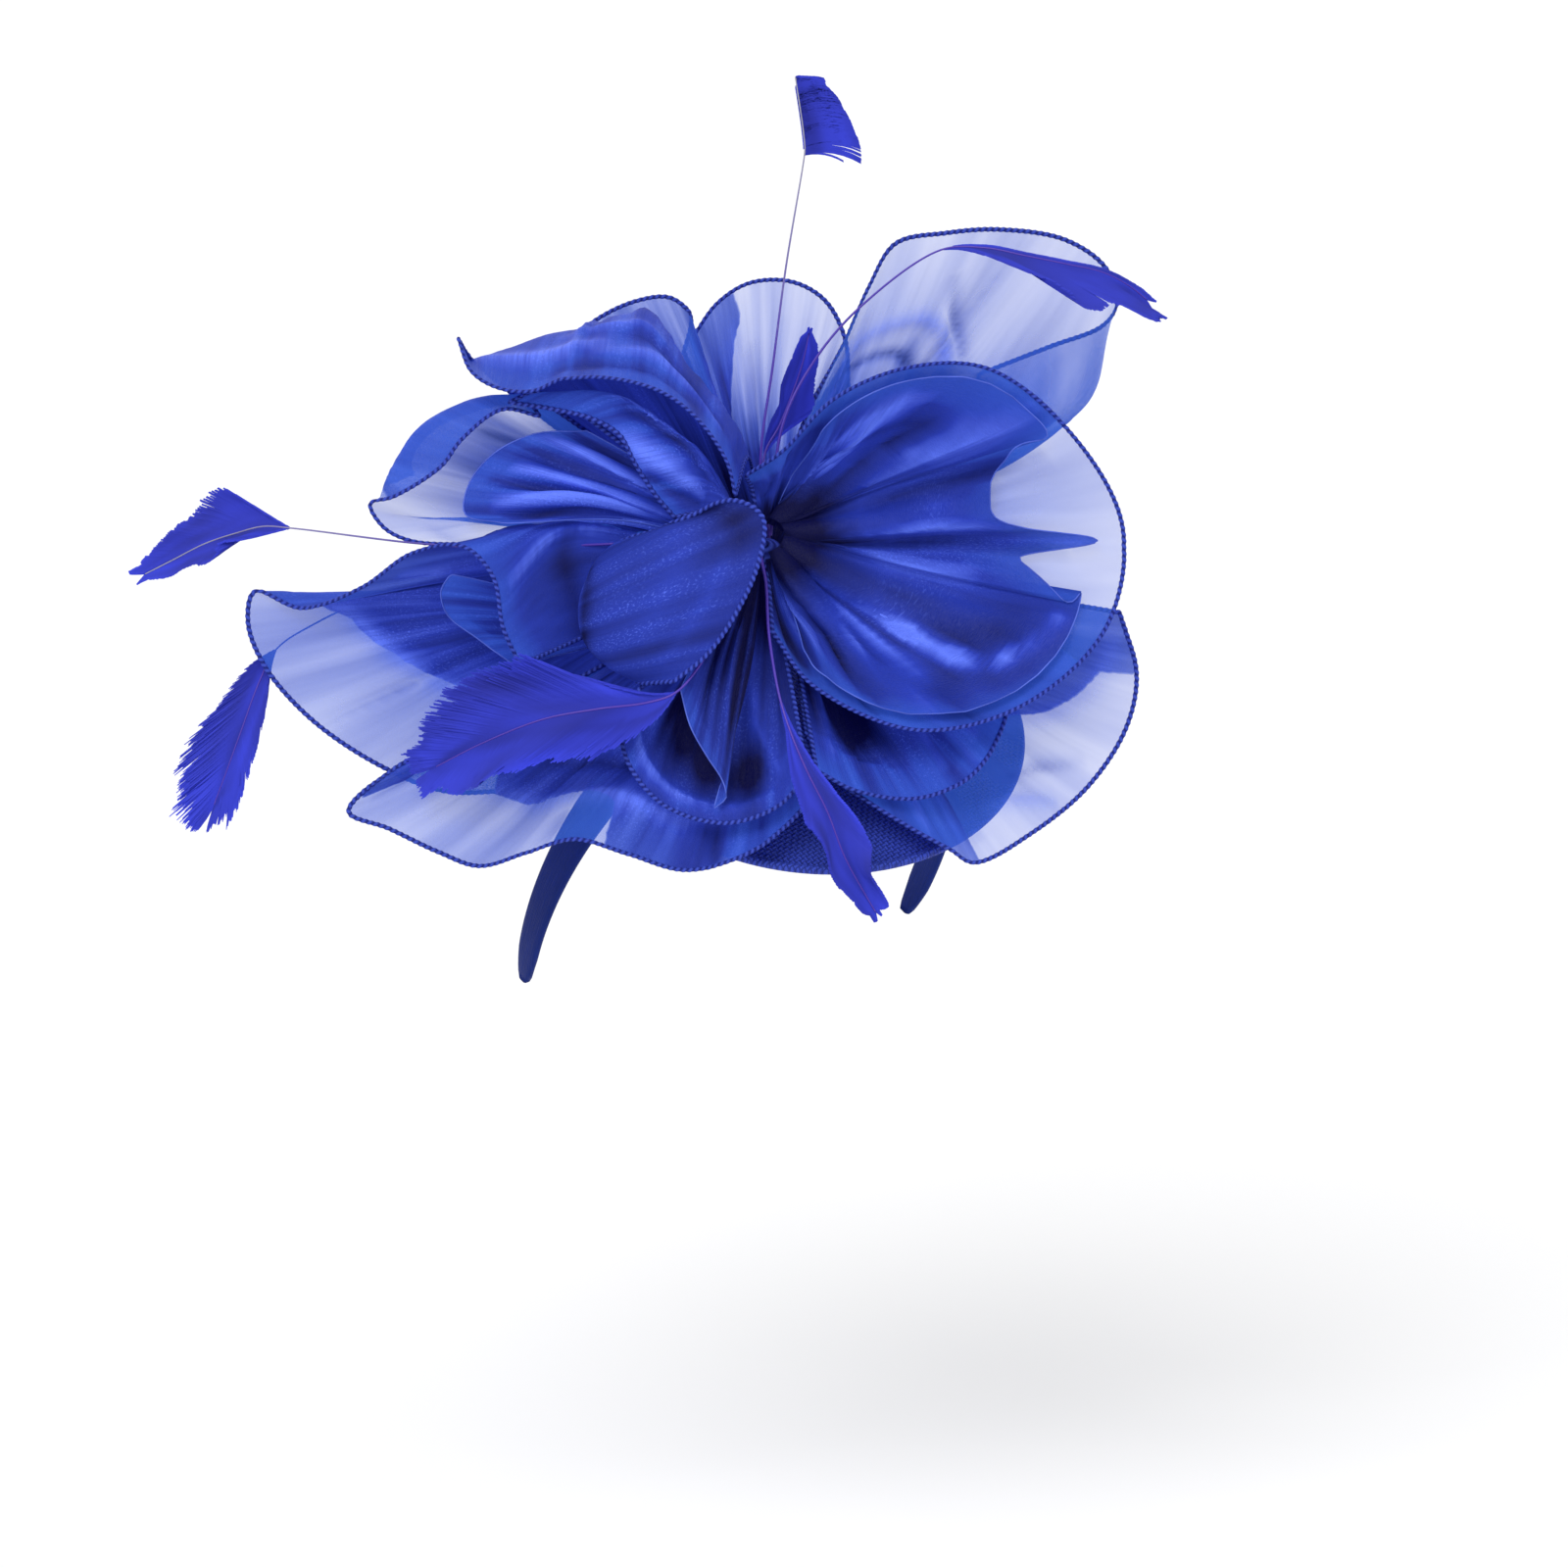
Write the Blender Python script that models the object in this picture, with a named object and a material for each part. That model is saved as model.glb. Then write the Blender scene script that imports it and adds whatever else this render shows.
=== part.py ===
"""Fascinator hat: a gathered organza flower with dyed feathers, on a round woven base and a headband.

Metres, +Z up, as worn: +X is the wearer's left and -Y the front. The origin is the inner face of
the headband at the crown. The tables are in millimetres.
"""
from collections import namedtuple
from math import cos, pi, radians, sin

import bmesh
import bpy
import numpy as np
from mathutils import Matrix, Vector

MM = 0.001
GAP = 0.3             # clearance between neighbouring pieces, mm
ORGANZA_WALL = 1.0    # one layer of organza with its hem, mm

# The flower faces the wearer's front right and a little up
FLOWER_TURN = radians(38)
FLOWER_RISE = radians(12)
FLOWER_CENTRE = Vector((-38.5, -23.8, 45.0))

# The stitched core that every petal and feather is gathered on, in the flower's own directions
CORE_AXIS = Vector((-0.10, 0.55, 0.83)).normalized()
CORE_RADIUS = 5.9
CORE_SIDES = 12
FOOT_RADIUS = 7.0
FOOT_SEARCH = (40.0, 80.0)    # depths between which the core's foot meets the base
SEARCH_STEPS = 40

BASE_CENTRE = Vector((-19.8, -22.0, -15.2))
BASE_NORMAL = Vector((-0.228, -0.448, 0.864)).normalized()
BASE_RADIUS = 64.0
BASE_DOME = 6.0       # rise of the middle over the rim
BASE_THICKNESS = 1.5
BASE_EDGE = 1.4       # half the width of the rolled edge
BASE_SIDES = 30

BAND_HALF_WIDTH = 76.0    # arch of the headband, half across
BAND_DROP = 87.0          # arch of the headband, half down
BAND_REACH = radians(105)
BAND_TILT = radians(26)   # the ends sit behind the ears
BAND_WIDE = 14.0
BAND_NARROW = 8.0
BAND_THICK = 2.5
BAND_SECTIONS = 28
BAND_TAPER = 0.4          # share of each side over which the band narrows
BAND_TIP = 0.07           # share of each side that is rounded off
BAND_TIP_WIDTH = 0.45     # width at the very end, as a share

QUILL = 0.5           # radius of a bare quill, mm
SECTIONS_PER_STATION = 2

LINING_FINE = (80, 40)    # columns and rows of the host's grid that a lining is read from

ORGANZA_BLUE = (0.035, 0.055, 0.50, 1)
FEATHER_BLUE = (0.045, 0.020, 0.45, 1)
BASE_BLUE = (0.022, 0.060, 0.38, 1)
SATIN_BLUE = (0.020, 0.040, 0.34, 1)

# A rib runs from the core over its crest, the fold or the middle of the cloth, to the hem.
# Places are across, up and out from the flower's centre.
Rib = namedtuple("Rib", "crest_across crest_up crest_out hem_across hem_up hem_out")
# A root is where the gathered edge lies on the core: share of the hem, degrees round, depth down it
Root = namedtuple("Root", "share degrees depth")
Sheet = namedtuple("Sheet", "columns rows sag folds fold_height roots ribs")
# An inner layer that follows another sheet: share along its hem, share along its ribs, gap to it
Follow = namedtuple("Follow", "along reach gap")
Lining = namedtuple("Lining", "columns rows host folds fold_height follows")
# A ruffle behind the flower is laid out round the core: reach from its axis, depth down it
Spread = namedtuple("Spread", "degrees crest_reach crest_depth hem_reach hem_depth")
Ruffle = namedtuple("Ruffle", "columns rows folds fold_height roots spreads")
# A feather's stations along its quill, with the width of the vane to each side
Station = namedtuple("Station", "across up out left right")
Feather = namedtuple("Feather", "degrees depth face stations")
# The core's profile, and the headband's outline: out from its inner face, and across, as shares
Profile = namedtuple("Profile", "depth radius")
Corner = namedtuple("Corner", "out across")


def rows_of(kind, *rows):
    """Give every row of a table its column names."""
    return [kind(*row) for row in rows]


SHEETS = {
    "right_petal": Sheet(18, 8, 0, 5, 1.6, rows_of(Root, (0, 105, 4), (1, -85, 4)), rows_of(
        Rib,
        (-3, 13, -3, -5, 17, 5),
        (4, 17, -1, 6, 24, 11),
        (12, 23, 0, 21, 39, 16),
        (23, 28, -5, 42, 48, 18),
        (36, 27, -9, 66, 48, 17),
        (48, 17, -12, 90, 30, 13),
        (54, 1, -13, 106, 2, 10),
        (51, -15, -12, 101, -28, 12),
        (40, -29, -8, 76, -51, 17),
        (24, -34, -3, 45, -58, 19),
        (9, -27, 1, 15, -45, 14),
        (2, -16, 2, 3, -29, 8))),
    "upper_right_petal": Sheet(18, 8, 4, 4, 2.0, rows_of(Root, (0, 82, 17), (1, 15, 17)), rows_of(
        Rib,
        (11, 31, -22, 25, 60, -36),
        (17, 37, -28, 32, 76, -38),
        (23, 42, -33, 40, 89, -38),
        (31, 44, -37, 55, 92, -36),
        (41, 45, -40, 71, 93, -35),
        (51, 43, -43, 91, 90, -36),
        (73, 41, -44, 103, 82, -37),
        (93, 41, -46, 107, 72, -41),
        (99, 42, -53, 103, 65, -49),
        (86, 39, -58, 87, 59, -56),
        (57, 29, -56, 66, 51, -60))),
    "top_petal": Sheet(12, 6, 2, 3, 1.4, rows_of(Root, (0, 104, 27), (1, 66, 27)), rows_of(
        Rib,
        (-11, 31, -46, -22, 62, -68),
        (-8, 36, -47, -14, 73, -66),
        (-2, 39, -46, -4, 79, -63),
        (4, 39, -45, 9, 79, -59),
        (10, 36, -43, 19, 73, -56),
        (13, 30, -42, 25, 61, -53),
        (14, 23, -39, 26, 46, -51))),
    "top_left_petal": Sheet(12, 6, 3, 3, 1.4, rows_of(Root, (0, 150, 22), (1, 108, 22)), rows_of(
        Rib,
        (-31, 29, -43, -64, 54, -60),
        (-27, 34, -44, -53, 66, -60),
        (-21, 38, -43, -39, 73, -58),
        (-13, 38, -41, -26, 74, -55),
        (-8, 34, -36, -14, 68, -48),
        (-5, 27, -31, -8, 56, -41))),
    "upper_left_petal": Sheet(18, 8, 6, 3, 1.4, rows_of(Root, (0, 172, 19), (1, 100, 16)), rows_of(
        Rib,
        (-85, 51, -12, -90, 58, 0),
        (-84, 52, -18, -86, 48, 3),
        (-72, 55, -25, -78, 43, 5),
        (-60, 58, -29, -68, 42, 6),
        (-51, 61, -31, -60, 45, 7),
        (-42, 64, -31, -48, 46, 8),
        (-33, 65, -30, -33, 43, 9),
        (-26, 56, -25, -24, 38, 10),
        (-17, 46, -20, -16, 30, 10),
        (-9, 35, -15, -10, 20, 10),
        (-4, 23, -11, -8, 11, 9))),
    "upper_left_inner": Sheet(10, 6, 0, 3, 0.8, rows_of(Root, (0, 165, 5.5), (1, 128, 5.5)), rows_of(
        Rib,
        (-66, 42, -2, -75, 39, 0),
        (-46, 42, -1, -62, 37, 0),
        (-34, 37, -1, -50, 34, 1),
        (-25, 30, 1, -42, 29, 1),
        (-19, 22, 3, -37, 20, 1),
        (-15, 14, 3, -32, 12, 1),
        (-12, 7, 2, -26, 5, 1))),
    "left_petal": Sheet(18, 8, 4, 3, 1.0, rows_of(Root, (0, 138, 12.5), (1, 182, 12.5)), rows_of(
        Rib,
        (-70, 42, -9, -66, 35, -3),
        (-85, 41, -8, -77, 37, -2),
        (-101, 34, -8, -89, 28, 0),
        (-109, 24, -6, -95, 20, 1),
        (-112, 15, -3, -109, 11, 2),
        (-112, 8, -3, -116, 9, 0),
        (-90, 5, -9, -112, 2, 1),
        (-60, 3, -11, -104, -2, 2),
        (-48, 1, -11, -88, -3, 2),
        (-38, 0, -13, -70, -2, 0),
        (-28, 0, -13, -52, 0, -5),
        (-16, 0, -13, -30, 1, -10))),
    "left_inner": Sheet(14, 7, 0, 4, 1.8, rows_of(Root, (0, 150, 8.8), (1, 174, 8.8)), rows_of(
        Rib,
        (-28, 17, -7, -52, 31, -8),
        (-36, 17, -7, -68, 30, -8),
        (-42, 13, -6, -80, 24, -7),
        (-46, 9, -4, -87, 15, -4),
        (-46, 6, -3, -88, 6, -1),
        (-40, 4, -2, -76, 3, 5))),
    "low_left_scroll": Sheet(18, 8, 3, 3, 1.0, rows_of(
        Root, (0, 238, 18), (0.6, 192, 15), (1, 214, 7)), rows_of(
        Rib,
        (-36, -38, -12, -76, -76, -4),
        (-48, -38, -13, -94, -76, -2),
        (-56, -34, -14, -112, -69, 1),
        (-66, -29, -14, -133, -55, 2),
        (-72, -24, -14, -147, -39, 3),
        (-74, -20, -13, -152, -26, 2),
        (-74, -17, -12, -150, -17, 2),
        (-72, -14, -10, -136, -22, 4),
        (-70, -9, -8, -118, -16, 8),
        (-68, -6, -5, -103, -6, 11),
        (-64, -7, -2, -88, -4, 14),
        (-60, -13, 0, -79, -13, 16),
        (-57, -21, 0, -76, -28, 17),
        (-50, -29, 0, -71, -39, 17))),
    "low_left_inner": Sheet(10, 6, 0, 0, 0, rows_of(Root, (0, 230, 12.5), (1, 216, 12.5)), rows_of(
        Rib,
        (-38, -29, -9, -73, -39, 4),
        (-46, -27, -9, -84, -31, 3),
        (-50, -24, -9, -93, -24, 2),
        (-52, -21, -8, -95, -17, 3),
        (-50, -19, -7, -92, -12, 5))),
    "front_petal": Sheet(14, 8, 0, 3, 0.8, rows_of(Root, (0, 180, 3), (1, 250, 3)), rows_of(
        Rib,
        (-44, -3, 6, -30, 1, 13),
        (-49, -8, 8, -20, 6, 19),
        (-52, -14, 9, -8, 9, 23),
        (-54, -20, 10, 0, 4, 25),
        (-54, -27, 10, -1, -9, 26),
        (-52, -33, 10, -7, -23, 26),
        (-46, -39, 10, -16, -36, 25),
        (-38, -43, 10, -26, -44, 22))),
    "bottom_petal": Sheet(18, 8, 0, 4, 1.6, rows_of(Root, (0, 228, 14), (1, 274, 14)), rows_of(
        Rib,
        (-46, -38, -5, -90, -60, 2),
        (-54, -44, -4, -108, -69, 4),
        (-60, -50, -3, -122, -82, 6),
        (-57, -53, -2, -110, -87, 9),
        (-52, -56, 0, -95, -94, 12),
        (-46, -60, 1, -83, -98, 15),
        (-38, -58, 2, -69, -94, 19),
        (-30, -56, 3, -55, -90, 23),
        (-22, -58, 5, -40, -94, 27),
        (-12, -60, 6, -22, -99, 30),
        (-3, -58, 6, -4, -94, 31),
        (3, -52, 5, 7, -86, 28),
        (7, -44, 3, 17, -75, 23))),
    "swirl_petal": Sheet(14, 7, 0, 3, 1.0, rows_of(Root, (0, 238, 10), (1, 276, 10)), rows_of(
        Rib,
        (-22, -32, 2, -36, -46, 13),
        (-26, -42, 4, -41, -62, 20),
        (-22, -50, 7, -30, -79, 27),
        (-10, -54, 9, -11, -85, 31),
        (3, -51, 9, 5, -80, 31),
        (8, -42, 8, 13, -71, 28))),
    "swirl_curl": Sheet(8, 6, 0, 0, 0, rows_of(Root, (0, 240, 6), (1, 262, 6)), rows_of(
        Rib,
        (-14, -28, 9, -22, -50, 19),
        (-10, -32, 11, -14, -61, 23),
        (-6, -36, 12, -9, -70, 26),
        (-3, -37, 13, -7, -77, 28),
        (0, -36, 13, -13, -82, 30))),
    "lower_petal": Sheet(14, 7, 0, 3, 1.2, rows_of(Root, (0, -28, 8), (1, -76, 8)), rows_of(
        Rib,
        (48, -30, -16, 92, -52, 5),
        (42, -36, -12, 80, -65, 9),
        (32, -40, -9, 59, -73, 16),
        (20, -42, -4, 39, -76, 21),
        (14, -40, -2, 25, -75, 23),
        (10, -36, 0, 16, -70, 24))),
    "lower_right_petal": Sheet(18, 8, 2, 4, 1.6, rows_of(Root, (0, -10, 16.5), (1, -82, 16.5)), rows_of(
        Rib,
        (54, -14, -24, 106, -23, -6),
        (58, -24, -24, 111, -41, -6),
        (57, -34, -22, 108, -57, -6),
        (53, -42, -18, 97, -74, -3),
        (46, -50, -14, 80, -88, 6),
        (38, -54, -7, 62, -97, 15),
        (34, -54, -7, 55, -93, 18),
        (28, -53, -8, 44, -87, 20),
        (21, -49, -9, 31, -79, 19),
        (14, -42, -10, 20, -71, 18),
        (9, -33, -10, 13, -59, 14))),
}

RUFFLES = {
    "back_left_petal": Ruffle(10, 6, 3, 1.2, rows_of(Root, (0, 100, 33), (1, 172, 31)), rows_of(
        Spread,
        (88, 20, 33, 36, 60),
        (112, 24, 31, 43, 56),
        (135, 26, 32, 41, 59),
        (158, 28, 31, 47, 50),
        (180, 26, 34, 44, 46))),
    "back_right_petal": Ruffle(10, 6, 3, 1.2, rows_of(Root, (0, 86, 37), (1, 14, 32)), rows_of(
        Spread,
        (100, 18, 39, 34, 66),
        (76, 22, 35, 39, 60),
        (52, 26, 33, 42, 62),
        (30, 28, 34, 50, 58),
        (12, 28, 36, 50, 60))),
}

LININGS = {
    "right_inner": Lining(16, 8, "right_petal", 4, 0.7, rows_of(
        Follow,
        (0.10, 0.90, 4),
        (0.22, 0.92, 4),
        (0.33, 0.92, 4),
        (0.40, 0.86, 4),
        (0.44, 0.70, 4),
        (0.505, 0.66, 4),
        (0.545, 0.88, 4),
        (0.585, 0.62, 4),
        (0.66, 0.72, 4),
        (0.74, 0.82, 4),
        (0.86, 0.80, 4),
        (0.95, 0.80, 4))),
}

FEATHERS = {
    "upright_feather": Feather(95, 9, (0.25, 0, 1), rows_of(
        Station,
        (-0.5, 24, -11, 0, 0),
        (3, 50, -12, 0, 0),
        (7, 80, -11, 0, 0),
        (12.5, 113, -8, 0, 0),
        (12.8, 116, -8, 1, 16),
        (12, 122, -8, 1, 18),
        (11, 129, -8, 1, 16),
        (10, 136, -8, 1, 7))),
    "right_feather": Feather(78, 10, (0.1, 0.3, 1), rows_of(
        Station,
        (6, 33, -12, 0, 0),
        (16, 53, -14, 0, 0),
        (30, 69, -14, 0, 0),
        (53, 85, -12, 0, 0),
        (66, 86, -10, 1.5, 1.5),
        (78, 82, -8, 3, 4),
        (90, 78, -7, 4, 6),
        (102, 73, -7, 5, 6),
        (112, 70, -8, 4, 4))),
    "short_feather": Feather(84, 13, (0.3, 0, 1), rows_of(
        Station,
        (0.5, 24, -17, 0, 0),
        (5, 33, -18, 3, 4),
        (9, 43, -18, 5, 6),
        (12, 52, -17, 4, 4),
        (14, 61, -16, 1, 1))),
    "left_feather": Feather(187, 9, (0, 0.3, 1), rows_of(
        Station,
        (-20, -2, -5, 0, 0),
        (-50, -3, -4, 0, 0),
        (-80, -4, 5, 0, 0),
        (-101, -3, 6, 0, 0),
        (-139, 1.5, 8, 0, 0),
        (-147, 2, 8, 4, 5),
        (-155, 0, 8, 7, 7),
        (-164, -3, 8, 7, 7),
        (-174, -8, 7, 4, 4),
        (-182, -12, 6, 1, 2))),
    "drooping_feather": Feather(204, 23, (-0.5, 0, 1), rows_of(
        Station,
        (-40, -14, -22, 0, 0),
        (-80, -18, -22, 0, 0),
        (-118, -20, -12, 0, 0),
        (-134, -27, -6, 0, 0),
        (-144, -34, -3, 0, 0),
        (-149, -44, -1, 6, 6),
        (-154, -58, 1, 9, 12),
        (-159, -74, 2, 10, 14),
        (-164, -88, 2, 4, 8))),
    "broad_feather": Feather(258, 5, (0, 0.15, 1), rows_of(
        Station,
        (-5, -16, 6, 0, 0),
        (-15, -34, 17, 0, 0),
        (-25, -47, 23, 0, 0),
        (-33, -50, 24, 4, 4),
        (-48, -52, 26, 11, 10),
        (-64, -55, 25, 15, 14),
        (-82, -62, 21, 14, 14),
        (-97, -70, 15, 8, 8))),
    "lower_feather": Feather(264, 2, (0.2, 0, 1), rows_of(
        Station,
        (1, -14, 7, 0, 0),
        (2, -30, 16, 0, 0),
        (5, -48, 26, 0, 0),
        (8, -58, 30, 1, 1),
        (13, -70, 33, 3, 5),
        (19, -82, 35, 6, 7),
        (24, -95, 36, 8, 6),
        (30, -106, 34, 4, 4),
        (33, -111, 33, 1, 2))),
}


CORE_PROFILE = rows_of(
    Profile, (-3, 3), (-1.5, 5), (0, CORE_RADIUS), (38, CORE_RADIUS), (41, 4.5), (46, 4.5))
BAND_OUTLINE = rows_of(
    Corner, (0, -0.8), (0.3, -1), (0.7, -1), (1, -0.8), (1, 0.8), (0.7, 1), (0.3, 1), (0, 0.8))
BASE_UNDER = (4, 24, 44, 60)    # radii of the rings under the dome, and on it
BASE_UPPER = (61, 44, 24, 4)


def clear_scene():
    """Remove every object of the start-up scene."""
    for old in list(bpy.data.objects):
        bpy.data.objects.remove(old, do_unlink=True)


def frame_from(side, rise, out, centre):
    """Matrix, in metres, whose columns are the three given directions."""
    turn = Matrix((side, rise, out)).transposed().to_4x4()
    return Matrix.Translation(centre * MM) @ turn


def flower_frame():
    """Across, up and out of the flower: out is the way it faces."""
    side = Vector((cos(FLOWER_TURN), -sin(FLOWER_TURN), 0))
    level = Vector((-sin(FLOWER_TURN), -cos(FLOWER_TURN), 0))
    out = level * cos(FLOWER_RISE) + Vector((0, 0, sin(FLOWER_RISE)))
    return frame_from(side, out.cross(side), out, FLOWER_CENTRE)


def base_frame():
    """The round base: its normal is out."""
    side = Vector((0, 1, 0)).cross(BASE_NORMAL).normalized()
    return frame_from(side, BASE_NORMAL.cross(side), BASE_NORMAL, BASE_CENTRE)


def core_ring(degrees, depth, radius):
    """Points round the core at a depth below the flower's centre, in the flower's directions."""
    axis = np.array(CORE_AXIS)
    side = np.array(Vector((1, 0, 0)) - CORE_AXIS * CORE_AXIS.x)
    side /= np.linalg.norm(side)
    rise = np.cross(axis, side)
    turn = np.radians(np.atleast_1d(degrees))[:, None]
    down = np.atleast_1d(depth)[:, None]
    return radius * (np.cos(turn) * side + np.sin(turn) * rise) - down * axis


def stations_along(points, count):
    """Evenly spaced stations along a row of points: the point before each, and the share to the next."""
    steps = np.linalg.norm(np.diff(points, axis=0), axis=1)
    walk = np.concatenate([[0], np.cumsum(steps)])
    at = np.linspace(0, walk[-1], count)
    before = np.clip(np.searchsorted(walk, at, side="right") - 1, 0, len(points) - 2)
    return before, (at - walk[before]) / steps[before]


def curve_through(points, before, share):
    """Centripetal Catmull-Rom curve through the points, read at the stations."""
    ends = np.vstack([2 * points[0] - points[1], points, 2 * points[-1] - points[-2]])
    knots = np.concatenate([[0], np.cumsum(np.linalg.norm(np.diff(ends, axis=0), axis=1) ** 0.5)])
    t0, t1, t2, t3 = (knots[before + step][:, None] for step in range(4))
    a, b, c, d = (ends[before + step] for step in range(4))
    t = t1 + share[:, None] * (t2 - t1)

    def blend(first, last, start, end):
        return first + (last - first) * (t - start) / (end - start)

    ab, bc, cd = blend(a, b, t0, t1), blend(b, c, t1, t2), blend(c, d, t2, t3)
    return blend(blend(ab, bc, t0, t2), blend(bc, cd, t1, t3), t1, t2)


def smooth_line(points, count):
    """Evenly spaced points on the curve through the given ones."""
    return curve_through(points, *stations_along(points, count))


def grid_normals(grid):
    """Unit normal at each point of a grid."""
    normal = np.cross(np.gradient(grid, axis=0), np.gradient(grid, axis=1))
    return normal / np.linalg.norm(normal, axis=2, keepdims=True)


def folded(grid, folds, height):
    """Push radial folds into a grid: none at the core, at the hem or at the two end ribs."""
    along = np.linspace(0, 1, grid.shape[0])[:, None]
    down = np.linspace(0, 1, grid.shape[1])[None, :]
    fade = np.sin(pi * down ** 0.6).clip(0) ** 1.2 * np.minimum(1, 6 * np.minimum(along, 1 - along))
    wave = height * np.sin(2 * pi * folds * along) * fade
    return grid + grid_normals(grid) * wave[:, :, None]


def root_points(roots, along, ahead):
    """Where the gathered edge lies on the core, some way ahead of the sheet's own place."""
    share, degrees, depth = np.array(roots, float).T
    turn = np.interp(along, share, degrees)
    down = np.interp(along, share, depth) - ahead
    return core_ring(turn, down, CORE_RADIUS + ORGANZA_WALL / 2)


def ribbed_grid(roots, crest, hem, columns, rows, sag):
    """A grid over ribs: columns along the hem, rows from the core over the crest to the hem."""
    before, share = stations_along(hem, columns + 1)
    along = (before + share) / (len(hem) - 1)
    root = root_points(roots, along, 0)
    crest = curve_through(crest, before, share)
    hem = curve_through(hem, before, share)
    grid = np.zeros((columns + 1, rows + 1, 3))
    for column, ends in enumerate(zip(root, crest, hem)):
        rib = np.array(ends)
        part, step = stations_along(rib, rows + 1)
        grid[column] = curve_through(rib, part, step)
        grid[column, :, 2] -= sag * np.sin(pi * np.clip(part + step, 0, 1))
    return grid


def sheet_grid(sheet, columns, rows):
    """A petal of the flower, over the ribs of its table."""
    table = np.array(sheet.ribs, float)
    grid = ribbed_grid(sheet.roots, table[:, :3], table[:, 3:], columns, rows, sheet.sag)
    return folded(grid, sheet.folds, sheet.fold_height)


def ruffle_grid(ruffle, columns, rows):
    """A ruffle behind the flower: it rises from the core and falls over the base."""
    degrees, crest_reach, crest_depth, hem_reach, hem_depth = np.array(ruffle.spreads, float).T
    crest = core_ring(degrees, crest_depth, crest_reach[:, None])
    hem = core_ring(degrees, hem_depth, hem_reach[:, None])
    grid = ribbed_grid(ruffle.roots, crest, hem, columns, rows, 0)
    return folded(grid, ruffle.folds, ruffle.fold_height)


def lining_grid(lining, columns, rows):
    """An inner layer that follows its host sheet at a gap, on the side that faces out."""
    fine_columns, fine_rows = LINING_FINE
    host = sheet_grid(SHEETS[lining.host], fine_columns, fine_rows)
    normal = grid_normals(host)
    normal *= np.sign((normal @ np.array(CORE_AXIS)).mean())
    along, reach, gap = smooth_line(np.array(lining.follows, float), columns + 1).T
    grid = np.zeros((columns + 1, rows + 1, 3))
    for column in range(columns + 1):
        place = along[column] * fine_columns
        left = min(int(place), fine_columns - 1)
        share = place - left
        for row in range(rows + 1):
            down = reach[column] * fine_rows * row / rows
            top = min(int(down), fine_rows - 1)
            part = down - top
            weights = ((left, top, (1 - share) * (1 - part)), (left + 1, top, share * (1 - part)),
                       (left, top + 1, (1 - share) * part), (left + 1, top + 1, share * part))
            for i, j, weight in weights:
                grid[column, row] += weight * (host[i, j] + gap[column] * normal[i, j])
    root = root_points(SHEETS[lining.host].roots, along, gap.mean())
    fade = (1 - np.linspace(0, 1, rows + 1)) ** 3
    grid += (root - grid[:, 0])[:, None, :] * fade[None, :, None]
    return folded(grid, lining.folds, lining.fold_height)


def plain_material(name, colour, roughness):
    """One Principled material."""
    material = bpy.data.materials.new(name)
    material.use_nodes = True
    shader = material.node_tree.nodes["Principled BSDF"]
    shader.inputs["Base Color"].default_value = colour
    shader.inputs["Roughness"].default_value = roughness
    shader.inputs["Metallic"].default_value = 0.0
    return material


def make_object(name, points, faces, parent, colour, roughness):
    """A mesh object in its parent's frame, from points in millimetres."""
    mesh = bpy.data.meshes.new(name)
    mesh.from_pydata([tuple(point * MM) for point in points], [], faces)
    mesh.materials.append(plain_material(name, colour, roughness))
    mesh.shade_smooth()
    piece = bpy.data.objects.new(name, mesh)
    bpy.context.scene.collection.objects.link(piece)
    piece.parent = parent
    return piece


def make_frame(name, matrix):
    """An empty that carries the pieces modelled in its frame."""
    empty = bpy.data.objects.new(name, None)
    empty.matrix_world = matrix
    bpy.context.scene.collection.objects.link(empty)
    return empty


def make_sheet(name, grid, parent):
    """A thin sheet of cloth: the grid's quads, thickened to both sides."""
    columns, rows = grid.shape[:2]
    faces = []
    for column in range(columns - 1):
        for row in range(rows - 1):
            corner = column * rows + row
            faces.append((corner, corner + rows, corner + rows + 1, corner + 1))
    piece = make_object(name, grid.reshape(-1, 3), faces, parent, ORGANZA_BLUE, 0.45)
    wall = piece.modifiers.new("wall", "SOLIDIFY")
    wall.thickness = ORGANZA_WALL * MM
    wall.offset = 0
    return piece


def make_loft(name, rings, parent, colour, roughness):
    """A closed solid through rings of the same number of points, with a flat face on each end."""
    rings = np.array(rings)
    count, sides = rings.shape[:2]
    faces = [tuple(reversed(range(sides))), tuple(range((count - 1) * sides, count * sides))]
    for ring in range(count - 1):
        for side in range(sides):
            start, after = ring * sides + side, ring * sides + (side + 1) % sides
            faces.append((start, after, after + sides, start + sides))
    piece = make_object(name, rings.reshape(-1, 3), faces, parent, colour, roughness)
    shape = bmesh.new()
    shape.from_mesh(piece.data)
    bmesh.ops.recalc_face_normals(shape, faces=shape.faces)
    shape.to_mesh(piece.data)
    shape.free()
    return piece


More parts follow.
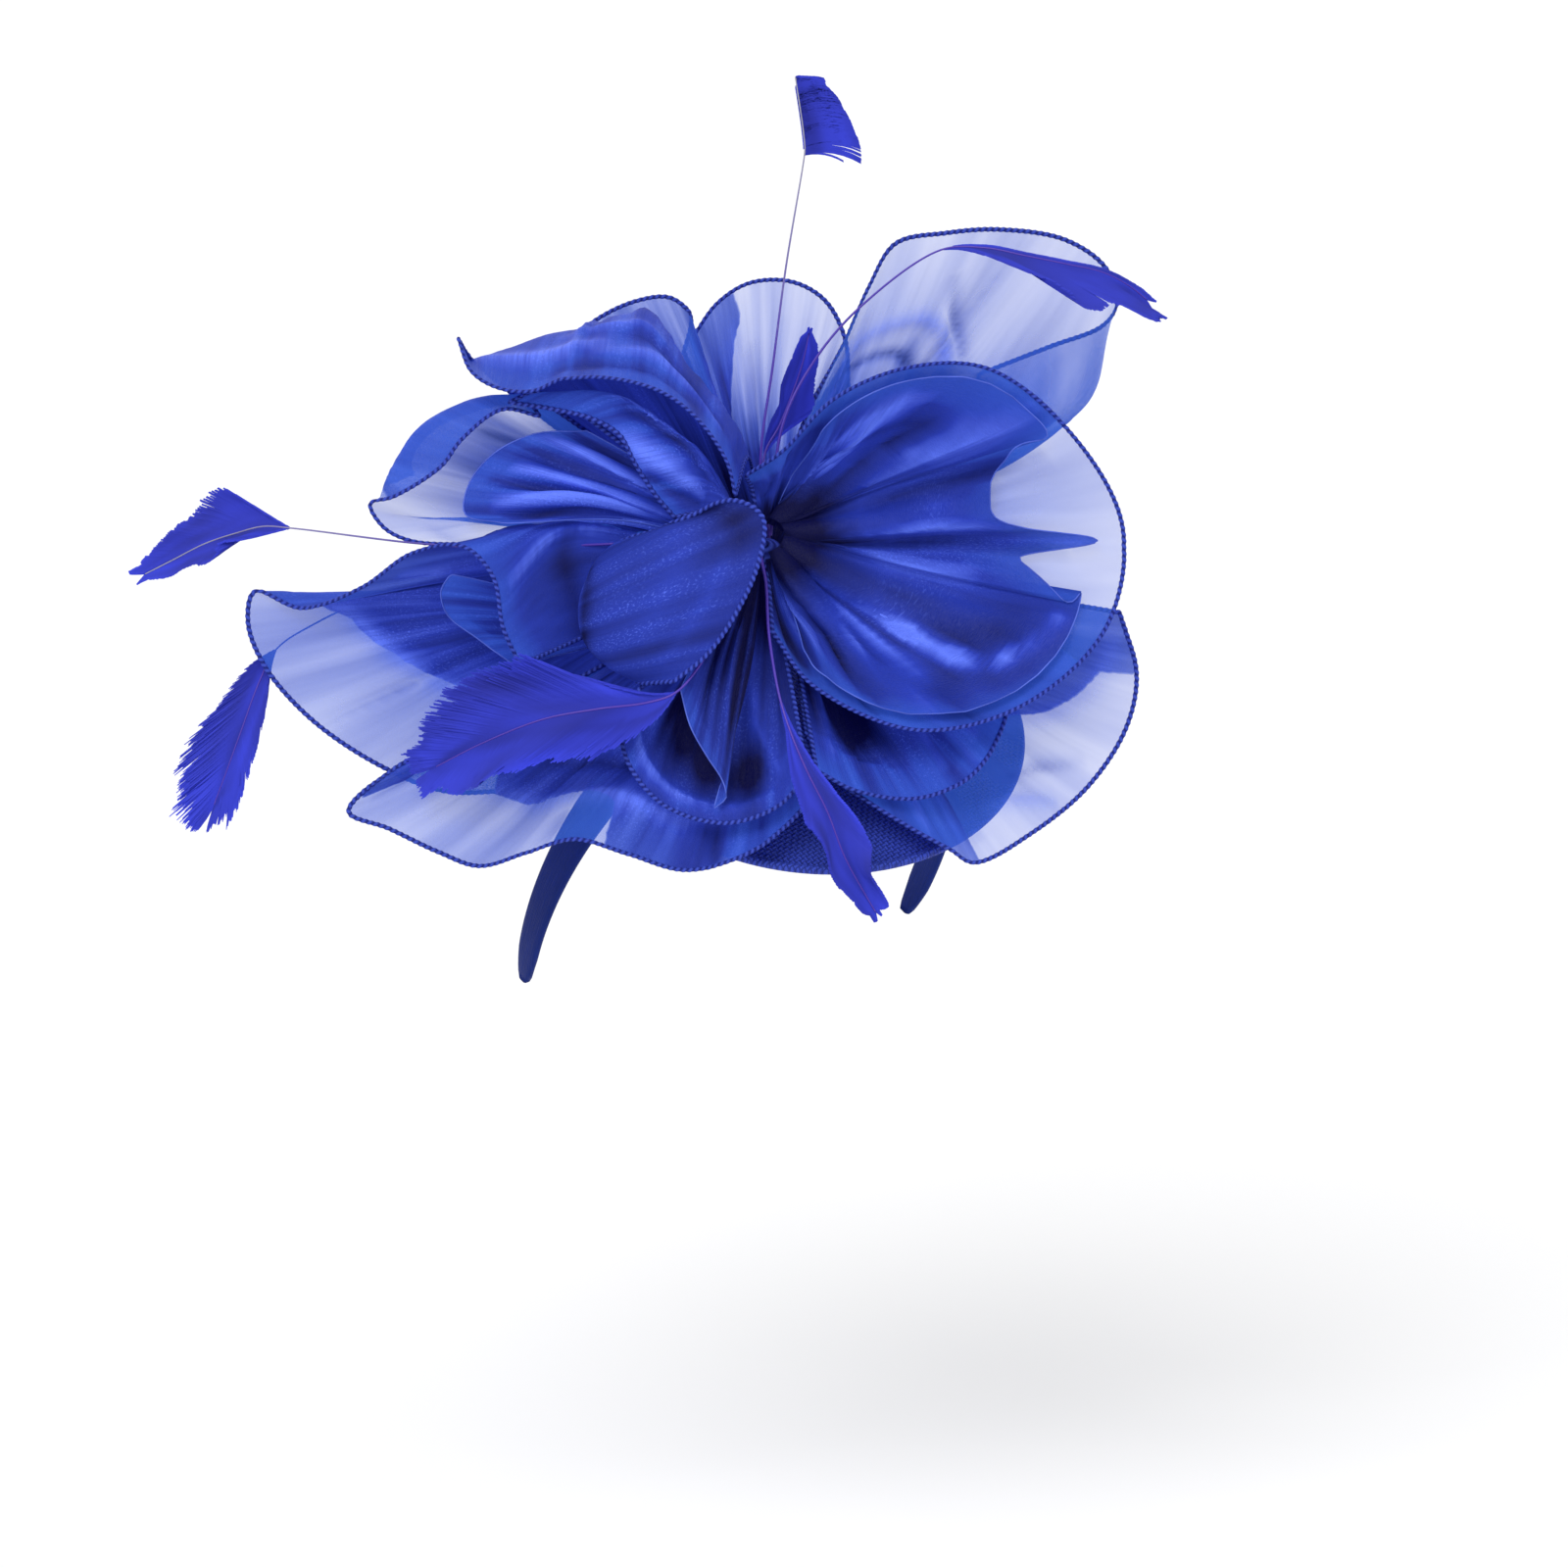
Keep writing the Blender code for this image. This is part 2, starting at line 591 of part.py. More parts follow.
def feather_rings(feather):
    """Six-sided sections along the quill, pulled out to the vane's width on both sides."""
    axis_point = core_ring(feather.degrees, feather.depth, CORE_RADIUS + GAP + QUILL)[0]
    table = np.vstack([[*axis_point, 0, 0], np.array(feather.stations, float)])
    place = np.linspace(0, len(table) - 1, (len(table) - 1) * SECTIONS_PER_STATION + 1)
    before = np.minimum(place.astype(int), len(table) - 2)
    share = place - before
    path = curve_through(table[:, :3], before, share)
    width = table[before, 3:] + (table[before + 1, 3:] - table[before, 3:]) * share[:, None]
    width = np.maximum(width, QUILL)
    tangent = np.gradient(path, axis=0)
    side = np.cross(tangent, np.array(feather.face))
    side /= np.linalg.norm(side, axis=1, keepdims=True)
    rise = np.cross(side, tangent)
    rise /= np.linalg.norm(rise, axis=1, keepdims=True)
    rings = []
    for point, (left, right), across, up in zip(path, width, side, rise):
        half, high = across * QUILL * cos(pi / 3), up * QUILL * sin(pi / 3)
        rings.append([point - across * left, point - half + high, point + half + high,
                      point + across * right, point + half - high, point - half - high])
    return rings


def dome_height(radius):
    """Height of the base's upper face over its rim plane."""
    return BASE_DOME * (1 - (radius / BASE_RADIUS) ** 2)


def base_rings():
    """Rings of the base, from the middle of its underside round the rolled edge to the top."""
    under = [(radius, dome_height(radius) - BASE_THICKNESS) for radius in BASE_UNDER]
    edge = [(BASE_RADIUS, -BASE_THICKNESS), (BASE_RADIUS + BASE_EDGE, 0), (BASE_RADIUS, BASE_EDGE)]
    upper = [(radius, dome_height(radius)) for radius in BASE_UPPER]
    turns = np.arange(BASE_SIDES) * 2 * pi / BASE_SIDES
    return [[(radius * cos(turn), radius * sin(turn), height) for turn in turns]
            for radius, height in under + edge + upper]


def core_rings(to_base):
    """Rings of the core: a round front, a straight stem and a foot that fits the base's dome."""
    degrees = np.arange(CORE_SIDES) * 360 / CORE_SIDES
    rings = [core_ring(degrees, row.depth, row.radius) for row in CORE_PROFILE]
    axis = np.array(CORE_AXIS)
    foot = core_ring(degrees, 0, FOOT_RADIUS)
    for index, point in enumerate(foot):
        near, far = FOOT_SEARCH
        for _ in range(SEARCH_STEPS):
            middle = (near + far) / 2
            place = to_base @ Vector((point - middle * axis) * MM) / MM
            above = place.z - dome_height(place.to_2d().length) - GAP
            near, far = (middle, far) if above > 0 else (near, middle)
        foot[index] = point - near * axis
    return rings + [foot]


def band_point(turn, outward, across):
    """A point of the headband: turn along the arch, outward from its inner face, across its width."""
    x, drop = BAND_HALF_WIDTH * sin(turn), BAND_DROP * (1 - cos(turn))
    normal = Vector((BAND_DROP * sin(turn), -BAND_HALF_WIDTH * cos(turn))).normalized()
    x, drop = x + normal.x * outward, drop + normal.y * outward
    y = drop * sin(BAND_TILT) + across * cos(BAND_TILT)
    z = across * sin(BAND_TILT) - drop * cos(BAND_TILT)
    return (x, y, z)


def band_rings():
    """Soft-edged sections along the arch, narrower towards the ends and rounded at the tips."""
    rings = []
    for turn in np.linspace(-BAND_REACH, BAND_REACH, BAND_SECTIONS + 1):
        to_tip = (BAND_REACH - abs(turn)) / BAND_REACH
        width = BAND_NARROW + (BAND_WIDE - BAND_NARROW) * min(1, to_tip / BAND_TAPER)
        width *= min(1, BAND_TIP_WIDTH + (1 - BAND_TIP_WIDTH) * to_tip / BAND_TIP)
        rings.append([band_point(turn, row.out * BAND_THICK, row.across * width / 2)
                      for row in BAND_OUTLINE])
    return rings


def build():
    """Make the whole hat."""
    clear_scene()
    flower = make_frame("flower_frame", flower_frame())
    base = make_frame("base_frame", base_frame())
    for name, sheet in SHEETS.items():
        make_sheet(name, sheet_grid(sheet, sheet.columns, sheet.rows), flower)
    for name, ruffle in RUFFLES.items():
        make_sheet(name, ruffle_grid(ruffle, ruffle.columns, ruffle.rows), flower)
    for name, lining in LININGS.items():
        make_sheet(name, lining_grid(lining, lining.columns, lining.rows), flower)
    for name, feather in FEATHERS.items():
        make_loft(name, feather_rings(feather), flower, FEATHER_BLUE, 0.6)
    to_base = base_frame().inverted() @ flower_frame()
    make_loft("flower_core", core_rings(to_base), flower, ORGANZA_BLUE, 0.6)
    make_loft("base_disc", base_rings(), base, BASE_BLUE, 0.7)
    make_loft("headband", band_rings(), None, SATIN_BLUE, 0.35)


build()
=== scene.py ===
# %% [markdown]
# # A fascinator hat, piece by piece
#
# The hat is a flower of royal-blue organza on a round woven base, with seven dyed feathers and a
# satin-covered headband. This lesson dresses a finished set of solids: it keeps their places and gives
# each piece its fine shape and its finish. We work in metres, in the frame of the solids, with +X the
# hat's left, -Y its front and +Z up.

# %% Load the solids
from collections import namedtuple
from math import cos, pi, radians, sin

import bpy
import numpy as np
from mathutils import Matrix, Vector


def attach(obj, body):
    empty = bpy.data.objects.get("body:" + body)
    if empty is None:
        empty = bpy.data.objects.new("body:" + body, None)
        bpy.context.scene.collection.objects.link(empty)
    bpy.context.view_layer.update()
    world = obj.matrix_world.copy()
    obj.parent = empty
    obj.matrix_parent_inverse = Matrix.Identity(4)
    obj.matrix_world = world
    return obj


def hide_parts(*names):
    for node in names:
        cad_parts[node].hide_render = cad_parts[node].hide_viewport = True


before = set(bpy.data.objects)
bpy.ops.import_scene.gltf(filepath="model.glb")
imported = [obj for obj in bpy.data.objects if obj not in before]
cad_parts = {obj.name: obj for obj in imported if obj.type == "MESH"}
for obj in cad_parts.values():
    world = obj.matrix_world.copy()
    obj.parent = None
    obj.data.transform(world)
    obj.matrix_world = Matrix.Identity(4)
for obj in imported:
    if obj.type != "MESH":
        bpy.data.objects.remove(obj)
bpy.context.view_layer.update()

# %% [markdown]
# ## The flower's own directions
#
# The flower faces the hat's front right and a little up. Its petals could be placed in the hat's frame,
# but they are easier to place as they are seen straight on, so the flower has directions of its own:
# across, up and out. All small sizes below are millimetres, as on a maker's bench, and one matrix takes
# them to metres in the hat's frame.

# %% The flower's frame
MM = 0.001
FLOWER_TURN = radians(38)
FLOWER_RISE = radians(12)
FLOWER_CENTRE = Vector((-38.5, -23.8, 45.0))


def frame_from(side, rise, out, centre):
    """Matrix, in metres, whose columns are the three given directions."""
    turn = Matrix((side, rise, out)).transposed().to_4x4()
    return Matrix.Translation(centre * MM) @ turn


FLOWER_SIDE = Vector((cos(FLOWER_TURN), -sin(FLOWER_TURN), 0))
FLOWER_LEVEL = Vector((-sin(FLOWER_TURN), -cos(FLOWER_TURN), 0))
FLOWER_OUT = FLOWER_LEVEL * cos(FLOWER_RISE) + Vector((0, 0, sin(FLOWER_RISE)))
FLOWER_UP = FLOWER_OUT.cross(FLOWER_SIDE)
FLOWER = frame_from(FLOWER_SIDE, FLOWER_UP, FLOWER_OUT, FLOWER_CENTRE)
print("flower centre:", FLOWER.translation, "it faces:", FLOWER_OUT)

# %% [markdown]
# ## Camera, floor and light
#
# The picture was taken from far away, square on to the flower, so a long lens two metres out gives
# the same flat view. Its frame is 464 mm wide at the flower. The light is a white studio: a white world, a
# pale floor well below the hat, and three lamps. They could be area lamps, but the light of those fades
# with distance. Suns light every petal alike, and their wide angles keep shadows and gloss soft.

# %% Camera
VIEW_WIDTH = 463.8  # millimetres of the flower's plane that the square picture takes in
VIEW_RANGE = 2000.0
VIEW_ACROSS = 6.4  # the picture's middle, from the flower's centre
VIEW_UP = -73.9
VIEW_END = 20.0  # metres
SENSOR = 36.0
SHEER_SURFACES = 48  # see-through surfaces that one ray may cross

scene = bpy.context.scene
scene.view_settings.view_transform = "Standard"
scene.cycles.transparent_max_bounces = SHEER_SURFACES


def look_at(thing, place, target):
    """Put a camera or a lamp at a place, looking at a target, with +Z up."""
    thing.location = place
    thing.rotation_euler = (target - place).to_track_quat("-Z", "Y").to_euler()


camera = bpy.data.objects.new("camera", bpy.data.cameras.new("camera"))
scene.collection.objects.link(camera)
aim = FLOWER @ (Vector((VIEW_ACROSS, VIEW_UP, 0)) * MM)
look_at(camera, aim + FLOWER_OUT * VIEW_RANGE * MM, aim)
camera.data.sensor_width = SENSOR
camera.data.lens = SENSOR * VIEW_RANGE / VIEW_WIDTH
camera.data.clip_end = VIEW_END
scene.camera = camera
print("lens:", round(camera.data.lens, 1), "mm")

# %% Floor
FLOOR_DROP = 0.28  # metres
FLOOR_SIZE = 14.0

floor_mesh = bpy.data.meshes.new("floor")
reach = FLOOR_SIZE / 2
floor_mesh.from_pydata([(x, y, -FLOOR_DROP) for x, y in
                        ((-reach, -reach), (reach, -reach), (reach, reach), (-reach, reach))],
                       [], [(0, 1, 2, 3)])
floor = bpy.data.objects.new("floor", floor_mesh)
scene.collection.objects.link(floor)
print("floor:", FLOOR_SIZE, "m square,", FLOOR_DROP, "m below the frame's origin")

# %% Light
WHITE = (1, 1, 1, 1)
WORLD_STRENGTH = 0.62

world = bpy.data.worlds.new("studio")
world.use_nodes = True
world.node_tree.nodes["Background"].inputs["Color"].default_value = WHITE
world.node_tree.nodes["Background"].inputs["Strength"].default_value = WORLD_STRENGTH
scene.world = world

Lamp = namedtuple("Lamp", "name place softness strength")
LAMPS = [
    Lamp("key_lamp", (-1.3, -0.7, 1.6), radians(35), 1.5),
    Lamp("fill_lamp", (1.2, -1.2, 1.0), radians(60), 0.5),
    Lamp("rim_lamp", (0.5, 1.4, 1.2), radians(50), 0.35),
]
for lamp in LAMPS:
    light = bpy.data.lights.new(lamp.name, "SUN")
    light.angle = lamp.softness
    light.energy = lamp.strength
    holder = bpy.data.objects.new(lamp.name, light)
    scene.collection.objects.link(holder)
    look_at(holder, Vector(lamp.place), FLOWER.translation)
    print(lamp.name, lamp.strength)

# %% [markdown]
# ## Shader maths as plain sums
#
# A finish is arithmetic on patterns. Wiring Math nodes by hand hides that, so a small class wraps a
# socket and lets Python's own operators add the nodes. Everything else, a noise, a bump or a colour mix,
# comes from one method that takes the node's type, its settings and what goes into its sockets.

# %% Wires
class Wire:
    """A socket that Python's operators work on."""

    def __init__(self, paint, socket):
        self.paint = paint
        self.socket = socket

    def __add__(self, other):
        return self.paint.maths("ADD", self, other)

    def __sub__(self, other):
        return self.paint.maths("SUBTRACT", self, other)

    def __rsub__(self, other):
        return self.paint.maths("SUBTRACT", other, self)

    def __mul__(self, other):
        return self.paint.maths("MULTIPLY", self, other)

    def __rtruediv__(self, other):
        return self.paint.maths("DIVIDE", other, self)

    def __pow__(self, other):
        return self.paint.maths("POWER", self, other)

    def __rpow__(self, other):
        return self.paint.maths("POWER", other, self)

    def __mod__(self, other):
        return self.paint.maths("FLOORED_MODULO", self, other)

    __radd__ = __add__
    __rmul__ = __mul__


print("a wire can be added, subtracted, multiplied, raised to a power, or divide a number")

# %% Paint
class Paint:
    """A material and the nodes that feed its Principled shader."""

    def __init__(self, name, fixed):
        self.material = bpy.data.materials.new(name)
        self.material.use_nodes = True
        self.tree = self.material.node_tree
        self.shader = self.tree.nodes["Principled BSDF"]
        for socket, value in fixed.items():
            self.shader.inputs[socket].default_value = value

    def node(self, kind, settings, inputs, output=0):
        """Any node: its settings first, then the values or wires of its sockets."""
        made = self.tree.nodes.new(kind)
        for name, value in settings.items():
            setattr(made, name, value)
        sockets = {socket.identifier: socket for socket in made.inputs}
        for name, value in inputs.items():
            self.join(value, sockets[name])
        outputs = {socket.identifier: socket for socket in made.outputs}
        return Wire(self, outputs[output] if output else made.outputs[0])

    def join(self, value, socket):
        """Put a value on a socket, or a wire into it."""
        if isinstance(value, Wire):
            self.tree.links.new(value.socket, socket)
        else:
            socket.default_value = value

    def maths(self, operation, *values, clamp=False):
        """One sum of up to three numbers or wires."""
        names = ("Value", "Value_001", "Value_002")
        return self.node("ShaderNodeMath", {"operation": operation, "use_clamp": clamp},
                         dict(zip(names, values)))

    def place(self, layer):
        """The two numbers of a UV layer."""
        vector = self.node("ShaderNodeUVMap", {"uv_map": layer}, {})
        return [self.node("ShaderNodeSeparateXYZ", {}, {"Vector": vector}, output=axis) for axis in "XY"]

    def noise(self, x, y, detail=2.0):
        """Soft noise, 0 to 1, that changes once for each unit of x and of y."""
        where = self.node("ShaderNodeCombineXYZ", {}, {"X": x, "Y": y})
        return self.node("ShaderNodeTexNoise", {}, {"Vector": where, "Scale": 1.0, "Detail": detail})

    def blend(self, share, first, second):
        """A colour from first to second."""
        return self.node("ShaderNodeMix", {"data_type": "RGBA"},
                         {"Factor_Float": share, "A_Color": first, "B_Color": second},
                         output="Result_Color")

    def bump(self, height, distance):
        """Relief of the given depth in metres, into the shader's normal."""
        normal = self.node("ShaderNodeBump", {}, {"Height": height, "Distance": distance})
        self.feed("Normal", normal)

    def feed(self, socket, wire):
        """Let a wire drive one of the shader's sockets."""
        self.join(wire, self.shader.inputs[socket])


PALE = (0.95, 0.95, 0.955, 1)
floor_paint = Paint("studio_floor", {"Roughness": 0.9, "Base Color": PALE})
floor.data.materials.append(floor_paint.material)
print("floor painted:", PALE[:3])

# %% [markdown]
# ## Curves through a few chosen points
#
# Each petal is described by a handful of ribs, and each feather by a handful of stations. Blender's own
# curve objects could join them, but we need the points as numbers, to fold and crease them. A
# centripetal Catmull-Rom curve passes through the given points without loops or overshoot, which suits
# cloth that hangs in easy curves.

# %% Smooth curves
def length_of(points):
    """Length of a row of points."""
    return float(np.linalg.norm(np.diff(points, axis=0), axis=1).sum())


def stations_along(points, count):
    """Evenly spaced stations along a row of points: the point before each, and the share to the next."""
    steps = np.linalg.norm(np.diff(points, axis=0), axis=1)
    walk = np.concatenate([[0], np.cumsum(steps)])
    at = np.linspace(0, walk[-1], count)
    before = np.clip(np.searchsorted(walk, at, side="right") - 1, 0, len(points) - 2)
    return before, (at - walk[before]) / steps[before]


def read_at(points, before, share):
    """The straight lines between the points, read at the stations."""
    return points[before] + (points[before + 1] - points[before]) * share[:, None]


def curve_through(points, before, share):
    """Centripetal Catmull-Rom curve through the points, read at the stations."""
    ends = np.vstack([2 * points[0] - points[1], points, 2 * points[-1] - points[-2]])
    knots = np.concatenate([[0], np.cumsum(np.linalg.norm(np.diff(ends, axis=0), axis=1) ** 0.5)])
    t0, t1, t2, t3 = (knots[before + step][:, None] for step in range(4))
    a, b, c, d = (ends[before + step] for step in range(4))
    t = t1 + share[:, None] * (t2 - t1)

    def between(first, last, start, end):
        return first + (last - first) * (t - start) / (end - start)

    ab, bc, cd = between(a, b, t0, t1), between(b, c, t1, t2), between(c, d, t2, t3)
    return between(between(ab, bc, t0, t2), between(bc, cd, t1, t3), t1, t2)


def smooth_line(points, count):
    """Evenly spaced points on the curve through the given ones."""
    return curve_through(points, *stations_along(points, count))


square = smooth_line(np.array([[0.0, 0, 0], [10, 0, 0], [10, 10, 0], [0, 10, 0]]), 9)
print("a curve round three sides of a 10 mm square is", round(length_of(square), 1), "mm long")

# %% [markdown]
# ## Places round the core
#
# Everything in the flower is stitched to a short stem, the core, which leans back from the flower's face
# down to the base. Gathered edges and quills are given by their angle round it and their depth along
# it, and not by coordinates, because then they follow the core wherever it leans.

# %% The core's rings
CORE_AXIS = Vector((-0.10, 0.55, 0.83)).normalized()
CORE_RADIUS = 5.9


def core_ring(degrees, depth, radius):
    """Points round the core at a depth below the flower's centre, in the flower's directions."""
    axis = np.array(CORE_AXIS)
    side = np.array(Vector((1, 0, 0)) - CORE_AXIS * CORE_AXIS.x)
    side /= np.linalg.norm(side)
    rise = np.cross(axis, side)
    turn = np.radians(np.atleast_1d(degrees))[:, None]
    down = np.atleast_1d(depth)[:, None]
    return radius * (np.cos(turn) * side + np.sin(turn) * rise) - down * axis


print("the core's upper side, at the flower's centre:", core_ring(90, 0, CORE_RADIUS)[0].round(1))

# %% [markdown]
# ## The petals' tables
#
# On the real flower every petal is a strip of organza, overlocked along its hem, gathered along its
# other edge and stitched to the core. A cloth simulation could gather such strips, but the folds would
# fall where the solver lets them, and not where the picture shows them. So each petal is a surface over
# ribs. A rib runs from the core over its crest, the fold or the middle of the cloth, to the hem. Roots
# say where the gathered edge lies round the core. Sag lets the cloth hang back between the core and
# the crest. The layers column says how many layers of cloth the strip lies in.

# %% Petal tables
Rib = namedtuple("Rib", "crest_across crest_up crest_out hem_across hem_up hem_out")
Root = namedtuple("Root", "share degrees depth")
Sheet = namedtuple("Sheet", "sag folds fold_height layers roots ribs")


def rows_of(kind, *rows):
    """Give every row of a table its column names."""
    return [kind(*row) for row in rows]


SHEETS = {
    "right_petal": Sheet(0, 5, 1.6, 1.0, rows_of(Root, (0, 105, 4), (1, -85, 4)), rows_of(
        Rib,
        (-3, 13, -3, -5, 17, 5), (4, 17, -1, 6, 24, 11), (12, 23, 0, 21, 39, 16),
        (23, 28, -5, 42, 48, 18), (36, 27, -9, 66, 48, 17), (48, 17, -12, 90, 30, 13),
        (54, 1, -13, 106, 2, 10), (51, -15, -12, 101, -28, 12), (40, -29, -8, 76, -51, 17),
        (24, -34, -3, 45, -58, 19), (9, -27, 1, 15, -45, 14), (2, -16, 2, 3, -29, 8))),
    "upper_right_petal": Sheet(4, 4, 2.0, 1.0, rows_of(Root, (0, 82, 17), (1, 15, 17)), rows_of(
        Rib,
        (11, 31, -22, 25, 60, -36), (17, 37, -28, 32, 76, -38), (23, 42, -33, 40, 89, -38),
        (31, 44, -37, 55, 92, -36), (41, 45, -40, 71, 93, -35), (51, 43, -43, 91, 90, -36),
        (73, 41, -44, 103, 82, -37), (93, 41, -46, 107, 72, -41), (99, 42, -53, 103, 65, -49),
        (86, 39, -58, 87, 59, -56), (57, 29, -56, 66, 51, -60))),
    "top_petal": Sheet(2, 3, 1.4, 1.0, rows_of(Root, (0, 104, 27), (1, 66, 27)), rows_of(
        Rib,
        (-11, 31, -46, -22, 62, -68), (-8, 36, -47, -14, 73, -66), (-2, 39, -46, -4, 79, -63),
        (4, 39, -45, 9, 79, -59), (10, 36, -43, 19, 73, -56), (13, 30, -42, 25, 61, -53),
        (14, 23, -39, 26, 46, -51))),
    "top_left_petal": Sheet(3, 3, 1.4, 1.5, rows_of(Root, (0, 150, 22), (1, 108, 22)), rows_of(
        Rib,
        (-31, 29, -43, -64, 54, -60), (-27, 34, -44, -53, 66, -60), (-21, 38, -43, -39, 73, -58),
        (-15, 38, -43, -28, 74, -57), (-11, 32, -41, -22, 68, -55), (-10, 26, -38, -24, 57, -52))),
    "upper_left_petal": Sheet(6, 3, 1.4, 2.0, rows_of(Root, (0, 172, 19), (1, 100, 16)), rows_of(
        Rib,
        (-85, 51, -12, -90, 58, 0), (-84, 52, -18, -86, 48, 3), (-72, 57, -25, -78, 43, 5),
        (-60, 60.5, -29, -68, 42, 6), (-51, 63.5, -31, -60, 45, 7), (-42, 66.5, -31, -48, 46, 8),
        (-33, 67, -30, -33, 43, 9), (-26, 57.5, -25, -24, 38, 10), (-17, 46, -20, -16, 30, 10),
        (-9, 35, -15, -10, 20, 10), (-4, 23, -11, -8, 11, 9))),
    "upper_left_inner": Sheet(0, 3, 0.8, 2.0, rows_of(Root, (0, 165, 5.5), (1, 128, 5.5)), rows_of(
        Rib,
        (-66, 42, -2, -75, 39, 0), (-46, 42, -1, -62, 37, 0), (-34, 37, -1, -50, 34, 1),
        (-25, 30, 1, -42, 29, 1), (-19, 22, 3, -37, 20, 1), (-15, 14, 3, -32, 12, 1),
        (-12, 7, 2, -26, 5, 1))),
    "left_petal": Sheet(4, 3, 1.0, 1.0, rows_of(Root, (0, 138, 12.5), (1, 182, 12.5)), rows_of(
        Rib,
        (-70, 42, -9, -66, 35, -3), (-85, 41, -8, -77, 37, -2), (-101, 34, -8, -89, 28, 0),
        (-109, 24, -6, -95, 20, 1), (-112, 15, -3, -109, 11, 2), (-112, 8, -3, -116, 9, 0),
        (-90, 5, -9, -112, 2, 1), (-60, 3, -11, -104, -2, 2), (-48, 1, -11, -88, -3, -1),
        (-38, 0, -13, -70, -2, -7), (-28, 0, -13, -52, 0, -15), (-16, 0, -13, -30, 1, -15))),
    "left_inner": Sheet(0, 4, 1.8, 2.0, rows_of(Root, (0, 150, 8.8), (1, 174, 8.8)), rows_of(
        Rib,
        (-28, 17, -7, -52, 31, -8), (-36, 17, -7, -68, 30, -8), (-42, 13, -6, -80, 24, -7),
        (-46, 9, -4, -87, 15, -4), (-46, 6, -3, -88, 6, -1), (-40, 4, -2, -76, 3, 5))),
    "low_left_scroll": Sheet(3, 3, 1.0, 1.25, rows_of(
        Root, (0, 238, 18), (0.6, 192, 15), (1, 214, 7)), rows_of(
        Rib,
        (-36, -38, -12, -76, -76, -4), (-48, -38, -13, -94, -76, -2), (-56, -34, -14, -112, -69, 1),
        (-66, -29, -14, -133, -55, 2), (-72, -24, -14, -147, -39, 3), (-74, -20, -13, -152, -26, 2),
        (-74, -17, -12, -150, -17, 2), (-72, -14, -10, -136, -22, 4), (-70, -9, -8, -118, -16, 8),
        (-68, -1, -5, -103, -6, 11), (-64, 3, -3, -88, -4, 14), (-60, 3, -2, -79, -13, 16),
        (-57, -6, -1, -76, -28, 17), (-50, -29, 0, -71, -39, 17))),
    "low_left_inner": Sheet(0, 0, 0, 2.0, rows_of(Root, (0, 230, 12.5), (1, 216, 12.5)), rows_of(
        Rib,
        (-38, -29, -9, -73, -39, 4), (-46, -27, -9, -84, -31, 3), (-50, -24, -9, -93, -24, 2),
        (-52, -21, -8, -95, -17, 3), (-50, -19, -7, -92, -12, 5))),
    "front_petal": Sheet(0, 0, 0, 2.4, rows_of(Root, (0, 180, 3), (1, 250, 3)), rows_of(
        Rib,
        (-44, -3, 6, -30, 1, 13), (-49, -8, 8, -20, 6, 19), (-52, -14, 9, -8, 9, 23),
        (-54, -20, 10, 0, 4, 25), (-54, -27, 10, -1, -9, 26), (-52, -33, 10, -7, -23, 26),
        (-46, -39, 10, -16, -36, 25), (-38, -43, 10, -26, -44, 22))),
    "bottom_petal": Sheet(0, 4, 1.6, 1.25, rows_of(Root, (0, 228, 14), (1, 274, 14)), rows_of(
        Rib,
        (-46, -38, -5, -90, -60, 2), (-54, -44, -4, -108, -69, 4), (-60, -50, -3, -122, -82, 6),
        (-57, -53, -2, -110, -87, 9), (-52, -56, 0, -95, -94, 12), (-46, -60, 1, -83, -98, 15),
        (-38, -58, 2, -69, -94, 19), (-30, -56, 3, -55, -90, 23), (-22, -58, 5, -40, -94, 27),
        (-12, -60, 6, -22, -99, 30), (-3, -58, 6, -4, -94, 31), (3, -52, 5, 7, -86, 28),
        (7, -44, 3, 17, -75, 23))),
    "swirl_petal": Sheet(0, 3, 1.0, 2.4, rows_of(Root, (0, 238, 10), (1, 276, 10)), rows_of(
        Rib,
        (-22, -32, 2, -36, -46, 13), (-26, -42, 4, -41, -62, 20), (-22, -50, 7, -30, -79, 27),
        (-10, -54, 9, -11, -85, 31), (3, -51, 9, 5, -80, 31), (8, -42, 8, 13, -71, 28))),
    "swirl_curl": Sheet(0, 0, 0, 2.0, rows_of(Root, (0, 240, 6), (1, 262, 6)), rows_of(
        Rib,
        (-15, -27, 8, -24, -46, 18), (-13, -31, 10, -21, -57, 22), (-11, -35, 11, -16, -66, 25.5),
        (-8, -38, 12, -11.5, -73, 28), (-5, -39, 12, -10.5, -78, 30),
        (-3, -38, 11, -14, -81, 31.5))),
    "lower_petal": Sheet(0, 3, 1.2, 2.0, rows_of(Root, (0, -28, 8), (1, -76, 8)), rows_of(
        Rib,
        (40, -26, -15, 74, -46, 2), (39, -32, -13, 70, -59, 6), (34, -38, -10, 62, -71, 12),
        (25, -42, -6, 46, -78, 18), (16, -41, -2, 28, -76, 22), (10, -36, 0, 16, -70, 24))),
    "lower_right_petal": Sheet(2, 4, 1.6, 1.0, rows_of(Root, (0, -10, 16.5), (1, -82, 16.5)), rows_of(
        Rib,
        (54, -14, -24, 106, -23, -6), (58, -24, -24, 111, -41, -6), (57, -34, -22, 108, -57, -6),
        (53, -42, -18, 97, -74, -3), (46, -50, -14, 80, -88, 6), (38, -54, -7, 62, -97, 15),
        (34, -54, -7, 55, -93, 18), (28, -53, -8, 44, -87, 20), (21, -49, -9, 31, -79, 19),
        (14, -42, -10, 20, -71, 18), (9, -33, -10, 13, -59, 14))),
}
print(len(SHEETS), "petals with", sum(len(sheet.ribs) for sheet in SHEETS.values()), "ribs")

